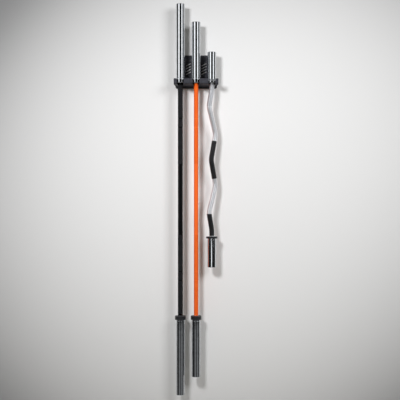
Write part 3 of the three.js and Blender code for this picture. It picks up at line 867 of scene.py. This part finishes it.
def finish_piece(piece, node, *materials):
    """Gives a piece its finish and lets it stand for a node of the engineering model."""
    choose(piece)
    bpy.ops.object.shade_smooth_by_angle(angle=SMOOTH_BELOW)
    apply_modifier(piece, "WEIGHTED_NORMAL", keep_sharp=True)
    for material in materials:
        piece.data.materials.append(material)
    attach(piece, frame["nodes"][node]["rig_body"])
    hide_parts(node)


def duplicate(piece, name, step):
    """A copy with its own mesh, moved by a step, with its place applied."""
    choose(piece)
    bpy.ops.object.duplicate(linked=False)
    copy = bpy.context.object
    copy.name = name
    bpy.ops.transform.translate(value=step)
    bpy.ops.object.transform_apply(location=True)
    return copy


def mesh_size(piece):
    """How many faces a piece has."""
    return len(piece.data.polygons)


def upright_axis(low, high):
    """Where the vertical axis through a box's middle stands."""
    return ((low.x + high.x) / 2, (low.y + high.y) / 2)


# %% [markdown]
# Each bar end has the same pieces in the same order, counted outwards from the collar's inner
# face. The engineering model gives the face, the outer end and the axis, so a bar end is
# described once, and the lower end is the upper one turned over. The sizes that can't be read
# from the boxes are the seats inside, and they are written here.

# %% What a bar end is made of
BARS = {
    "long_bar": {"shaft_radius": 14.25 * MM, "collar_thickness": 22 * MM},
    "middle_bar": {"shaft_radius": 12.5 * MM, "collar_thickness": 22 * MM},
    "curl_bar": {"shaft_radius": 14.0 * MM, "collar_thickness": 11 * MM},
}
CLEARANCE = 0.3 * MM
SHOULDER_DEPTH = 1.55 * MM
WASHER_OVERHANG = 1.75 * MM
TUBE_RADIUS = 25 * MM
BORE_RADIUS = 17.3 * MM
NECK_RADIUS = 24 * MM
NECK_LENGTH = 7 * MM
COLLAR_CHAMFER = 1.5 * MM
COLLAR_LIP = 2.4 * MM
TUBE_CHAMFER = 2 * MM


def bar_end(bar, end):
    """The places and radii of one end of a bar."""
    low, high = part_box(f"{bar}_{end}_sleeve")
    outward = 1 if end == "top" else -1
    facts = dict(BARS[bar])
    facts["prefix"] = f"{bar}_{end}"
    facts["axis"] = upright_axis(low, high)
    facts["outward"] = outward
    facts["face"] = low.z if end == "top" else high.z
    facts["length"] = high.z - low.z
    facts["collar_radius"] = (high.x - low.x) / 2
    facts["journal"] = facts["shaft_radius"] - SHOULDER_DEPTH
    facts["washer_radius"] = facts["shaft_radius"] + WASHER_OVERHANG
    return facts


def lift_outline(end, outline):
    """Takes an outline counted outwards from the collar's face to heights in the frame."""
    return [(radius, end["face"] + end["outward"] * height) for radius, height in outline]


def turned_piece(end, part, outline, material, **lathe):
    """Turns and finishes one piece of a bar end, from an outline counted outwards."""
    node = end["prefix"] + "_" + part
    piece = turn_on_lathe(node + "_turned", lift_outline(end, outline), end["axis"], **lathe)
    finish_piece(piece, node, material)
    return piece


bar_ends = [bar_end(bar, end) for bar in BARS for end in ("top", "bottom")]
print("bar ends:", [end["prefix"] for end in bar_ends])

# %% [markdown]
# A sleeve is one turned piece: the collar that sits on the rack, a short neck, and the tube that
# takes the plates. It is bored from its outer end and keeps a thin lip at the collar. The lower
# collars' faces take a second, near-black material on the same piece: a painted dark reflection
# that stands in for the dim room and floor that their chrome mirrors.


# %% Sleeves
# A near-black stand-in for the dark surroundings that the lower collars' chrome mirrors: a painted
# dark reflection on collars that are chrome like the upper ones.
collar_painted_reflection = plain_metal(
    "lower_collar_painted_reflection", (0.010, 0.010, 0.012, 1), (0.022, 0.022, 0.025, 1), 0.34, 0.15, 0.5 * MM,
    0.02 * MM, metallic=0.0
)


def paint_collar_reflection(piece, end):
    """Gives the collar's faces, down to where the neck starts, the painted dark reflection."""
    piece.data.materials.append(collar_painted_reflection)
    for face in piece.data.polygons:
        outwards = (face.center.z - end["face"]) * end["outward"]
        if outwards < end["collar_thickness"] + SAME_PLACE:
            face.material_index = 1


def make_sleeve(end):
    """Collar, neck and tube, with the bore and the lip at the collar."""
    collar = end["collar_radius"]
    thickness = end["collar_thickness"]
    lip_hole = end["washer_radius"] + CLEARANCE
    neck_end = thickness + NECK_LENGTH
    outline = [
        (lip_hole, 0),
        (collar - COLLAR_CHAMFER, 0),
        (collar, COLLAR_CHAMFER),
        (collar, thickness - COLLAR_CHAMFER),
        (collar - COLLAR_CHAMFER, thickness),
        (NECK_RADIUS, thickness),
        (NECK_RADIUS, neck_end),
        (TUBE_RADIUS, neck_end + TUBE_RADIUS - NECK_RADIUS),
        (TUBE_RADIUS, end["length"] - TUBE_CHAMFER),
        (TUBE_RADIUS - TUBE_CHAMFER, end["length"]),
        (BORE_RADIUS, end["length"]),
        (BORE_RADIUS, COLLAR_LIP),
        (lip_hole, COLLAR_LIP),
        (lip_hole, 0),
    ]
    piece = turned_piece(end, "sleeve", outline, sleeve_chrome)
    # the lower collars get the painted dark reflection
    if end["outward"] < 0:
        paint_collar_reflection(piece, end)
    return piece


sleeves = [make_sleeve(end) for end in bar_ends]
print("faces on a sleeve:", mesh_size(sleeves[0]))

# %% [markdown]
# The end cap is a disc pressed into the tube's mouth, with a low boss and a groove around it. Its
# rim is broken by a chamfer, which catches a thin bright ring of light.

# %% End caps
CAP_THICKNESS = 5 * MM
CAP_RECESS = 2 * MM
CAP_BOSS = 8 * MM
CAP_BOSS_HEIGHT = 1.2 * MM
CAP_GROOVE_START = 10.5 * MM
CAP_GROOVE_WIDTH = 1.6 * MM
CAP_GROOVE_DEPTH = 0.7 * MM
CAP_CHAMFER = 0.9 * MM


def make_cap(end, material):
    """A disc with a boss, a groove and a chamfered rim."""
    bottom = end["length"] - CAP_RECESS - CAP_THICKNESS
    top = bottom + CAP_THICKNESS
    rim = BORE_RADIUS - CLEARANCE
    groove_end = CAP_GROOVE_START + CAP_GROOVE_WIDTH
    outline = [
        (0, bottom),
        (rim, bottom),
        (rim, top - CAP_CHAMFER),
        (rim - CAP_CHAMFER, top),
        (groove_end, top),
        (groove_end, top - CAP_GROOVE_DEPTH),
        (CAP_GROOVE_START, top - CAP_GROOVE_DEPTH),
        (CAP_GROOVE_START, top),
        (CAP_BOSS, top),
        (CAP_BOSS - CAP_BOSS_HEIGHT, top + CAP_BOSS_HEIGHT),
        (0, top + CAP_BOSS_HEIGHT),
    ]
    return turned_piece(end, "end_cap", outline, material)


cap_finishes = {}
for end in bar_ends:
    if end["axis"] not in cap_finishes:
        finish_name = "cap_chrome_" + end["prefix"].rsplit("_", 1)[0]
        cap_finishes[end["axis"]] = faced_chrome(finish_name, end["axis"])
    make_cap(end, cap_finishes[end["axis"]])
print("cap finishes:", len(cap_finishes))

# %% [markdown]
# Inside a sleeve two bronze bushings run on the shaft's journal, a hard washer takes the thrust
# at the collar, and a spring ring in a groove keeps the sleeve on. The ring is sprung in through
# a gap, so its outline is spun through less than a full turn and its two ends are filled.

# %% Bushings, washers and spring rings
BUSHING_LENGTH = 40 * MM
RING_THICKNESS = 2.5 * MM
RING_FROM_END = 26 * MM
RING_GROOVE = 1.5 * MM
RING_OVERHANG = 2.8 * MM
RING_TURN = 334
WASHER_PROUD = 1.5 * MM
SHOULDER = WASHER_PROUD + CLEARANCE
INNER_SIDES = 64
INNER_ROUNDING = 0.25 * MM


def ring_seat(end):
    """Where the spring ring starts and stops, counted outwards from the collar's face."""
    top = end["length"] - RING_FROM_END
    return top - RING_THICKNESS, top


def make_tube(end, part, radii, heights, material, turn=360):
    """A short tube around the journal, between two radii and two heights."""
    inner, outer = radii
    start, stop = heights
    outline = [(inner, start), (outer, start), (outer, stop), (inner, stop), (inner, start)]
    lathe = {"rounding": INNER_ROUNDING, "sides": INNER_SIDES, "turn": turn}
    turned_piece(end, part, outline, material, **lathe)


for end in bar_ends:
    running = end["journal"] + CLEARANCE
    bushing = (running, BORE_RADIUS - CLEARANCE)
    ring_bottom, ring_top = ring_seat(end)
    outer_top = ring_bottom - CLEARANCE
    inner_bottom = COLLAR_LIP + CLEARANCE
    inner_place = (inner_bottom, inner_bottom + BUSHING_LENGTH)
    outer_place = (outer_top - BUSHING_LENGTH, outer_top)
    washer = (running, end["washer_radius"])
    ring = (end["journal"] - RING_GROOVE + CLEARANCE, end["journal"] + RING_OVERHANG)
    make_tube(end, "inner_bushing", bushing, inner_place, bronze)
    make_tube(end, "outer_bushing", bushing, outer_place, bronze)
    make_tube(end, "thrust_washer", washer, (-WASHER_PROUD, COLLAR_LIP), washer_steel)
    make_tube(end, "retaining_ring", ring, (ring_bottom, ring_top), spring_steel, RING_TURN)
print("small pieces inside the sleeves:", 4 * len(bar_ends))

# %% [markdown]
# A straight shaft is turned down at each end for its sleeve. Between the collars its knurled
# stretches stand a hair above the smooth ones, as on a real bar, where the smooth stretch is what
# the knurling wheel left alone.

# %% Straight shafts
JOURNAL_TIP_FROM_END = 21 * MM
SMOOTH_BELOW_KNURL = 0.25 * MM
BAND_SLOPE = 0.4 * MM
SHAFT_ROUNDING = 0.2 * MM


def journal_outline(end):
    """The turned-down end of a shaft, from its shoulder outwards to the axis."""
    ring_bottom, ring_top = ring_seat(end)
    groove = end["journal"] - RING_GROOVE
    tip = end["length"] - JOURNAL_TIP_FROM_END
    return [
        (end["journal"], -SHOULDER),
        (end["journal"], ring_bottom - CLEARANCE),
        (groove, ring_bottom - CLEARANCE),
        (groove, ring_top + CLEARANCE),
        (end["journal"], ring_top + CLEARANCE),
        (end["journal"], tip),
        (0, tip),
    ]


def grip_outline(top, bottom):
    """The shaft between its shoulders, from the top one down, with the knurl's steps."""
    radius = top["shaft_radius"]
    smooth = radius - SMOOTH_BELOW_KNURL
    points = [(smooth, top["face"] - SHOULDER)]
    for start, stop in knurl_bands(top["face"] - bottom["face"]):
        points.append((smooth, top["face"] - start + BAND_SLOPE))
        points.append((radius, top["face"] - start))
        points.append((radius, top["face"] - stop))
        points.append((smooth, top["face"] - stop - BAND_SLOPE))
    points.append((smooth, bottom["face"] + SHOULDER))
    return points


def make_straight_shaft(bar, material):
    """A knurled shaft with a journal at each end."""
    top, bottom = [end for end in bar_ends if end["prefix"].startswith(bar)]
    upper = list(reversed(lift_outline(top, journal_outline(top))))
    lower = lift_outline(bottom, journal_outline(bottom))
    outline = upper + grip_outline(top, bottom) + lower
    piece = turn_on_lathe(bar + "_shaft_turned", outline, top["axis"], SHAFT_ROUNDING)
    finish_piece(piece, bar + "_shaft", material)
    return piece


make_straight_shaft("long_bar", black_shaft)
shaft_piece = make_straight_shaft("middle_bar", orange_shaft)
print("faces on a straight shaft:", mesh_size(shaft_piece))

# %% [markdown]
# The curl bar's shaft zigzags in one plane, with rounded bends, so that the hands hold it at an
# angle. A curve with a round section follows such a line by itself, and a radius at each of its
# points also gives the turned-down ends and the steps of the grips. Made a mesh, it gets the UV
# map that its finishes read. Bending a straight cylinder would squash its section at the bends.

# %% Centre line of the curl bar's shaft
CURL_END_STRAIGHT = 0.035
CURL_BENDS = [(-0.021, 0.134), (0.0275, 0.288)]
CURL_MIDDLE_OFFSET = -0.005
CURL_SETBACK = 0.020
CURL_PLANE_TURN = math.radians(40)
BEND_STEPS = 10
CURL_GRIPS = {
    "bright": [(0.010, 0.131)],
    "black": [(0.327, 0.5375), (0.7365, 0.860)],
}
GRIP_STEP = 0.2 * MM

curl_top, curl_bottom = [end for end in bar_ends if end["prefix"].startswith("curl_bar")]
curl_grip_length = curl_top["face"] - curl_bottom["face"]


def curl_point(offset, depth):
    """A point of the zigzag, from its offset in the plane and its depth below the collar."""
    across = offset * math.cos(CURL_PLANE_TURN)
    inwards = offset * math.sin(CURL_PLANE_TURN)
    x, y = curl_top["axis"]
    return Vector((x + across, y + inwards, curl_top["face"] - depth))


def curl_corners():
    """The zigzag's corners, from the upper shoulder down to the lower one."""
    half = [(0, SHOULDER), (0, CURL_END_STRAIGHT), *CURL_BENDS]
    mirrored = [(offset, curl_grip_length - depth) for offset, depth in reversed(half)]
    middle = [(CURL_MIDDLE_OFFSET, curl_grip_length / 2)]
    return [curl_point(*corner) for corner in half + middle + mirrored]


def rounded_line(corners, setback, steps):
    """Replaces each corner by a short curve between points a setback away from it."""
    line = [corners[0]]
    for before, corner, after in zip(corners, corners[1:], corners[2:]):
        start = corner + (before - corner).normalized() * setback
        stop = corner + (after - corner).normalized() * setback
        for i in range(steps + 1):
            share = i / steps
            line.append((1 - share) ** 2 * start + 2 * share * (1 - share) * corner + share**2 * stop)
    line.append(corners[-1])
    return line


def with_grip_steps(line):
    """Adds points where a grip starts or stops, and gives every point a radius."""
    radius = curl_top["shaft_radius"]
    grips = CURL_GRIPS["bright"] + CURL_GRIPS["black"]
    stations = [(curl_top["face"] - place.z, place) for place in line]
    for grip in grips:
        for edge in grip:
            for depth in (edge - GRIP_STEP, edge + GRIP_STEP):
                stations.append((depth, point_at_depth(line, depth)))
    stations.sort(key=lambda station: station[0])
    sections = []
    for depth, place in stations:
        held = any(start < depth < stop for start, stop in grips)
        sections.append((place, radius if held else radius - GRIP_STEP))
    return sections


def point_at_depth(line, depth):
    """The point of the line at a depth below the upper collar."""
    height = curl_top["face"] - depth
    for above, below in zip(line, line[1:]):
        if above.z >= height >= below.z:
            return above.lerp(below, (above.z - height) / (above.z - below.z))
    raise ValueError("the line doesn't reach this depth")


curl_line = rounded_line(curl_corners(), CURL_SETBACK, BEND_STEPS)
curl_stations = with_grip_steps(curl_line)
print("points on the curl bar's line:", len(curl_stations))

# %% Sweep the curl bar's shaft
SWEEP_STEP = 0.05 * MM
SWEEP_RESOLUTION = 15


def journal_stations(end):
    """The turned-down end as points on the axis with their radii, from the tip to the shoulder."""
    x, y = end["axis"]
    stations = []
    for radius, height in reversed(lift_outline(end, journal_outline(end))[:-1]):
        stations.append((Vector((x, y, height)), radius))
    return stations


def spread_steps(stations):
    """Moves points that share a place a hair apart, so that a step in radius stays a step."""
    spread = [stations[0]]
    for place, radius in stations[1:]:
        last, _ = spread[-1]
        if (place - last).length < SWEEP_STEP:
            place = last - Vector((0, 0, SWEEP_STEP))
        spread.append((place, radius))
    return spread


curl_sections = spread_steps(
    journal_stations(curl_top) + curl_stations + list(reversed(journal_stations(curl_bottom)))
)
bpy.ops.object.select_all(action="DESELECT")
bpy.ops.curve.primitive_nurbs_path_add()
curl_curve = bpy.context.object
curl_curve.name = "curl_bar_shaft_swept"
curl_curve.data.splines.clear()
spline = curl_curve.data.splines.new("POLY")
spline.points.add(len(curl_sections) - 1)
for point, (place, radius) in zip(spline.points, curl_sections):
    point.co = (*place, 1)
    point.radius = radius / MM
curl_curve.data.bevel_depth = MM
curl_curve.data.bevel_resolution = SWEEP_RESOLUTION
curl_curve.data.use_fill_caps = True
bpy.ops.object.convert(target="MESH")
curl_piece = bpy.context.object
bpy.ops.object.mode_set(mode="EDIT")
close_surface()
print("faces on the curl bar's shaft:", mesh_size(curl_piece))


# %% Unwrap the swept shaft and give each grip its faces
def nearest_centre(height):
    """The point of the centre line at a height."""
    for (above, _), (below, _) in zip(curl_sections, curl_sections[1:]):
        if above.z >= height >= below.z:
            drop = max(above.z - below.z, SAME_PLACE)
            return above.lerp(below, (above.z - height) / drop)
    return curl_sections[0][0] if height > 0 else curl_sections[-1][0]


def unwrap_along(piece):
    """Writes a UV map whose U goes around the section and whose V is the length in metres."""
    layer = piece.data.uv_layers.new(name="along_the_bar")
    for face in piece.data.polygons:
        around = []
        for index in face.vertices:
            place = piece.data.vertices[index].co
            centre = nearest_centre(place.z)
            around.append(math.atan2(place.y - centre.y, place.x - centre.x) / (2 * math.pi))
        first = around[0]
        for loop, index, share in zip(face.loop_indices, face.vertices, around):
            unbroken = share - round(share - first)
            layer.data[loop].uv = (unbroken, -piece.data.vertices[index].co.z)


unwrap_along(curl_piece)
finish_piece(curl_piece, "curl_bar_shaft", curl_polished, curl_bright_grip, curl_black_grip)
for face in curl_piece.data.polygons:
    depth = curl_top["face"] - face.center.z
    for index, kind in enumerate(("bright", "black"), start=1):
        if any(start < depth < stop for start, stop in CURL_GRIPS[kind]):
            face.material_index = index

# %% [markdown]
# The plate, the shelf and the liners already have their right outline in the engineering model.
# What they lack is the small radius that every cut or moulded edge has, and that catches the
# light. So each is copied, its loose triangles are merged, and its sharp edges are rounded by a
# Bevel modifier that leaves the shallow steps of curved stretches alone.

# %% Rounded copies of the plate, the shelf and the liners
SHARP_ABOVE = math.radians(36)
FLAT_BELOW = math.radians(0.5)
ROUNDING_STEPS = 3
PLATE_ROUNDING = 0.8 * MM
SHELF_ROUNDING = 0.9 * MM
LINER_ROUNDING = 0.5 * MM
SIDES = ("left", "middle", "right")


def rounded_copy(node, rounding, material):
    """A copy of a node with its sharp edges rounded."""
    choose(frame["nodes"][node])
    bpy.ops.object.duplicate(linked=False)
    piece = bpy.context.object
    piece.name = node + "_formed"
    piece.parent = None
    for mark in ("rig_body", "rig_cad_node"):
        del piece[mark]
    piece.data.materials.clear()
    bpy.ops.object.mode_set(mode="EDIT")
    merge_doubles()
    bpy.ops.mesh.dissolve_limited(angle_limit=FLAT_BELOW)
    bpy.ops.object.mode_set(mode="OBJECT")
    limits = {"limit_method": "ANGLE", "angle_limit": SHARP_ABOVE, "harden_normals": True}
    apply_modifier(piece, "BEVEL", width=rounding, segments=ROUNDING_STEPS, **limits)
    finish_piece(piece, node, material)


rounded_copy("wall_plate", PLATE_ROUNDING, plate_coat)
rounded_copy("shelf_tray", SHELF_ROUNDING, plate_coat)
for side in SIDES:
    rounded_copy("saddle_liner_" + side, LINER_ROUNDING, liner_finish)
print("rounded copies: 5")

# %% [markdown]
# A weld bead is a row of frozen puddles, each lapping over the one before. One ripple is drawn as
# a section that swells and shrinks along its length, and an Array modifier repeats it, with the
# shared rings merged. Both ends are then closed. A bump texture alone would leave the bead's
# outline straight.

# %% Weld beads
RIPPLE_LENGTH = 3.2 * MM
RIPPLE_SHARES = ((0.0, 0.84), (0.14, 0.97), (0.4, 1.0), (0.75, 0.93), (1.0, 0.84))
RIPPLE_MERGE = 0.15 * MM
WELD_ARC_STEPS = 7
WELD_HOLLOW_SHARE = 0.22


def make_weld(node, side):
    """A rippled fillet in the corner between the plate and the shelf; side is 1 above, -1 below."""
    low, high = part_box(node)
    leg = high.z - low.z
    root_z = low.z if side > 0 else high.z
    root = Vector((low.x, high.y, root_z))
    points = [root]
    for i in range(WELD_ARC_STEPS + 1):
        angle = math.pi / 2 * i / WELD_ARC_STEPS
        bulge = 1 - WELD_HOLLOW_SHARE * math.sin(2 * angle)
        outwards = -math.cos(angle) * leg * bulge
        upwards = side * math.sin(angle) * leg * bulge
        points.append(root + Vector((0, outwards, upwards)))
    piece = start_vertex(node + "_laid", points[0])
    draw_outline([*points, points[0]])
    merge_doubles()
    bpy.ops.mesh.select_all(action="SELECT")
    swell(RIPPLE_SHARES[0][1], 1.0, root)
    for before, after in zip(RIPPLE_SHARES, RIPPLE_SHARES[1:]):
        step = (after[0] - before[0]) * RIPPLE_LENGTH
        bpy.ops.mesh.extrude_region_move(TRANSFORM_OT_translate={"value": (step, 0, 0)})
        swell(after[1], before[1], root)
    bpy.ops.object.mode_set(mode="OBJECT")
    ripples = int((high.x - low.x) / RIPPLE_LENGTH)
    step = ((high.x - low.x) / ripples, 0, 0)
    offsets = {"use_relative_offset": False, "use_constant_offset": True}
    merging = {"use_merge_vertices": True, "merge_threshold": RIPPLE_MERGE}
    apply_modifier(
        piece, "ARRAY", count=ripples, constant_offset_displace=step, **offsets, **merging
    )
    bpy.ops.object.mode_set(mode="EDIT")
    fill_open_rims()
    close_surface()
    finish_piece(piece, node, weld_coat)
    return piece


def swell(share, last_share, root):
    """Scales the selected ring from its last share of the section to the next."""
    ratio = share / last_share
    bpy.ops.transform.resize(value=(1, ratio, ratio), center_override=root)


weld_piece = make_weld("weld_bead_above", 1)
make_weld("weld_bead_below", -1)
print("faces on a weld bead:", mesh_size(weld_piece))

# %% [markdown]
# Two button-head screws hold each liner down. One is modelled: a domed head is turned, and a
# hexagonal socket is cut into it with a Boolean modifier. The other five are copies.

# %% Liner screws
SCREW_HEAD = 3.8 * MM
SCREW_HEAD_HEIGHT = 2.2 * MM
SCREW_SHANK = 2.0 * MM
SCREW_SOCKET = 1.45 * MM
SCREW_SOCKET_DEPTH = 1.3 * MM
SCREW_CHAMFER = 0.3 * MM
SCREW_ROUNDING = 0.1 * MM
SCREW_SIDES = 48
DOME_STEPS = 6
TOOL_OVERRUN = 1 * MM


def cut_away(piece, tool, operation="DIFFERENCE"):
    """Applies a Boolean of another mesh to a piece, and removes the other mesh."""
    apply_modifier(piece, "BOOLEAN", operation=operation, solver="EXACT", object=tool)
    bpy.data.objects.remove(tool)


def hexagon_tool(axis, radius, bottom, top):
    """A hexagonal bar along Z."""
    bpy.ops.object.select_all(action="DESELECT")
    middle = (axis[0], axis[1], (bottom + top) / 2)
    bpy.ops.mesh.primitive_cylinder_add(
        vertices=6, radius=radius, depth=top - bottom, location=middle
    )
    tool = bpy.context.object
    bpy.ops.object.transform_apply(location=True)
    return tool


def make_liner_screw(node):
    """A turned button head with a socket."""
    low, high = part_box(node)
    axis = upright_axis(low, high)
    seat = high.z - SCREW_HEAD_HEIGHT
    outline = [
        (0, low.z),
        (SCREW_SHANK - SCREW_CHAMFER, low.z),
        (SCREW_SHANK, low.z + SCREW_CHAMFER),
        (SCREW_SHANK, seat),
    ]
    for i in range(DOME_STEPS + 1):
        angle = math.pi / 2 * i / DOME_STEPS
        reach = SCREW_SOCKET + (SCREW_HEAD - SCREW_SOCKET) * math.cos(angle)
        outline.append((reach, seat + SCREW_HEAD_HEIGHT * math.sin(angle)))
    outline.append((0, high.z))
    piece = turn_on_lathe(node + "_turned", outline, axis, SCREW_ROUNDING, SCREW_SIDES)
    socket_bottom = high.z - SCREW_SOCKET_DEPTH
    cut_away(piece, hexagon_tool(axis, SCREW_SOCKET, socket_bottom, high.z + TOOL_OVERRUN))
    return piece, Vector((*axis, 0))


first_screw, first_place = make_liner_screw("liner_screw_left_1")
for side in SIDES:
    for number in ("1", "2"):
        node = f"liner_screw_{side}_{number}"
        low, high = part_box(node)
        place = Vector((*upright_axis(low, high), 0))
        screw = first_screw
        if node != "liner_screw_left_1":
            screw = duplicate(first_screw, node + "_turned", place - first_place)
        finish_piece(screw, node, black_oxide)
print("faces on a liner screw:", mesh_size(first_screw))

# %% [markdown]
# The lag screws that carry the rack have a hexagonal head on a round flange, and a coarse thread
# that bites into the wall. The head is turned with its flange and trimmed to a hexagon. The
# thread is a short zigzag that a Screw modifier winds along the shank, as a die would cut it.
# Head and thread come out whole, but the union of the two fails at present and leaves a scrap of
# five faces. So these screws can't be seen yet, and the join has to be made in another way.

# %% Lag screws
LAG_RADIUS = 4.75 * MM
LAG_ROOT = 3.6 * MM
LAG_THREAD_PITCH = 3.2 * MM
LAG_FLANGE = 11 * MM
LAG_FLANGE_THICKNESS = 2 * MM
LAG_ACROSS_FLATS = 14.3 * MM
LAG_POINT = 10 * MM
LAG_PLAIN = 12 * MM
LAG_HEAD_CHAMFER = 1.1 * MM
LAG_HEAD_HEIGHT = 8.2 * MM
LAG_HEAD_ROUNDING = 0.25 * MM
LAG_BLANK_ROUNDING = 0.05 * MM
LAG_BLANK_SLOPE = 1.6 * MM
LAG_BAR_OVERLAP = 0.5 * MM
LAG_THREAD_OVERLAP = 2 * MM
LAG_THREAD_STEPS = 32
LAG_RIM_SHARE = 1.05
LAG_POINT_SHARE = 0.001


def make_lag_head(name, seat, top):
    """The flanged head along Z, on the axis through the origin, with a plain neck below it."""
    corner = LAG_ACROSS_FLATS / 2 / math.cos(math.pi / 6)
    flange_top = seat + LAG_FLANGE_THICKNESS
    bar = hexagon_tool((0, 0), corner, flange_top - LAG_BAR_OVERLAP, top)
    blank = turn_on_lathe(name + "_chamfer", [
        (0, flange_top - TOOL_OVERRUN),
        (corner + TOOL_OVERRUN, flange_top - TOOL_OVERRUN),
        (corner + TOOL_OVERRUN, top - LAG_HEAD_CHAMFER),
        (corner - LAG_BLANK_SLOPE, top),
        (0, top),
    ], (0, 0), LAG_BLANK_ROUNDING)
    cut_away(bar, blank, "INTERSECT")
    head = turn_on_lathe(name, [
        (0, seat - LAG_PLAIN),
        (LAG_RADIUS, seat - LAG_PLAIN),
        (LAG_RADIUS, seat),
        (LAG_FLANGE, seat),
        (LAG_FLANGE, seat + LAG_FLANGE_THICKNESS / 2),
        (corner, flange_top),
        (0, flange_top),
    ], (0, 0), LAG_HEAD_ROUNDING)
    cut_away(head, bar, "UNION")
    return head


def make_lag_thread(name, seat, tip):
    """The threaded part along Z, from inside the neck down to the point."""
    start = tip + LAG_POINT
    turns = int((seat - LAG_PLAIN - start) / LAG_THREAD_PITCH)
    middle = LAG_THREAD_PITCH / 2
    flat = LAG_THREAD_PITCH / 5
    profile = [
        (LAG_ROOT, 0, start),
        (LAG_ROOT, 0, start + flat),
        (LAG_RADIUS, 0, start + middle),
        (LAG_ROOT, 0, start + LAG_THREAD_PITCH),
    ]
    piece = start_vertex(name, profile[0])
    draw_outline(profile)
    bpy.ops.object.mode_set(mode="OBJECT")
    steps = {"steps": LAG_THREAD_STEPS, "render_steps": LAG_THREAD_STEPS, "iterations": turns}
    merging = {"use_merge_vertices": True, "merge_threshold": SAME_PLACE}
    apply_modifier(piece, "SCREW", axis="Z", screw_offset=LAG_THREAD_PITCH, **steps, **merging)
    bpy.ops.object.mode_set(mode="EDIT")
    merge_doubles()
    lower_rim = start + LAG_THREAD_PITCH * LAG_RIM_SHARE
    upper_rim = start + LAG_THREAD_PITCH * turns - SAME_PLACE
    select_rim(piece, lambda place: place.z < lower_rim)
    bpy.ops.mesh.extrude_region_move(TRANSFORM_OT_translate={"value": (0, 0, 0)})
    bpy.ops.transform.resize(value=(LAG_POINT_SHARE,) * 3, center_override=(0, 0, tip))
    select_rim(piece, lambda place: place.z > upper_rim)
    bpy.ops.mesh.extrude_region_move(TRANSFORM_OT_translate={"value": (0, 0, 0)})
    inside_neck = seat - LAG_PLAIN + LAG_THREAD_OVERLAP
    bpy.ops.transform.resize(value=(1, 1, 0), center_override=(0, 0, inside_neck))
    fill_open_rims()
    close_surface()
    return piece


def select_rim(piece, wanted):
    """Selects the open rim at one end of a wound surface."""
    bpy.ops.mesh.select_mode(type="EDGE")
    bpy.ops.mesh.select_all(action="DESELECT")
    shape = bmesh.from_edit_mesh(piece.data)
    for edge in shape.edges:
        edge.select = edge.is_boundary and all(wanted(vertex.co) for vertex in edge.verts)
    bmesh.update_edit_mesh(piece.data)


first_node = "lag_screw_left_lower"
low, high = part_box(first_node)
lag_seat = -low.y - LAG_HEAD_HEIGHT
lag = make_lag_head("lag_screw_pattern", lag_seat, -low.y)
thread = make_lag_thread("lag_thread", lag_seat, -high.y)
cut_away(lag, thread, "UNION")
choose(lag)
bpy.ops.transform.rotate(value=math.radians(-90), orient_axis="X", center_override=(0, 0, 0))
bpy.ops.object.transform_apply(rotation=True)
lag_box = [Vector(corner) for corner in lag.bound_box]
lag_front = min(corner.y for corner in lag_box)
lag_tip = max(corner.y for corner in lag_box)
print("lag screw from y", lag_front, "to", lag_tip, "faces", mesh_size(lag))

for side in SIDES:
    for level in ("lower", "upper"):
        node = f"lag_screw_{side}_{level}"
        low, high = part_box(node)
        step = ((low.x + high.x) / 2, 0, (low.z + high.z) / 2)
        screw = duplicate(lag, node + "_cut", step)
        finish_piece(screw, node, zinc)
bpy.data.objects.remove(lag)
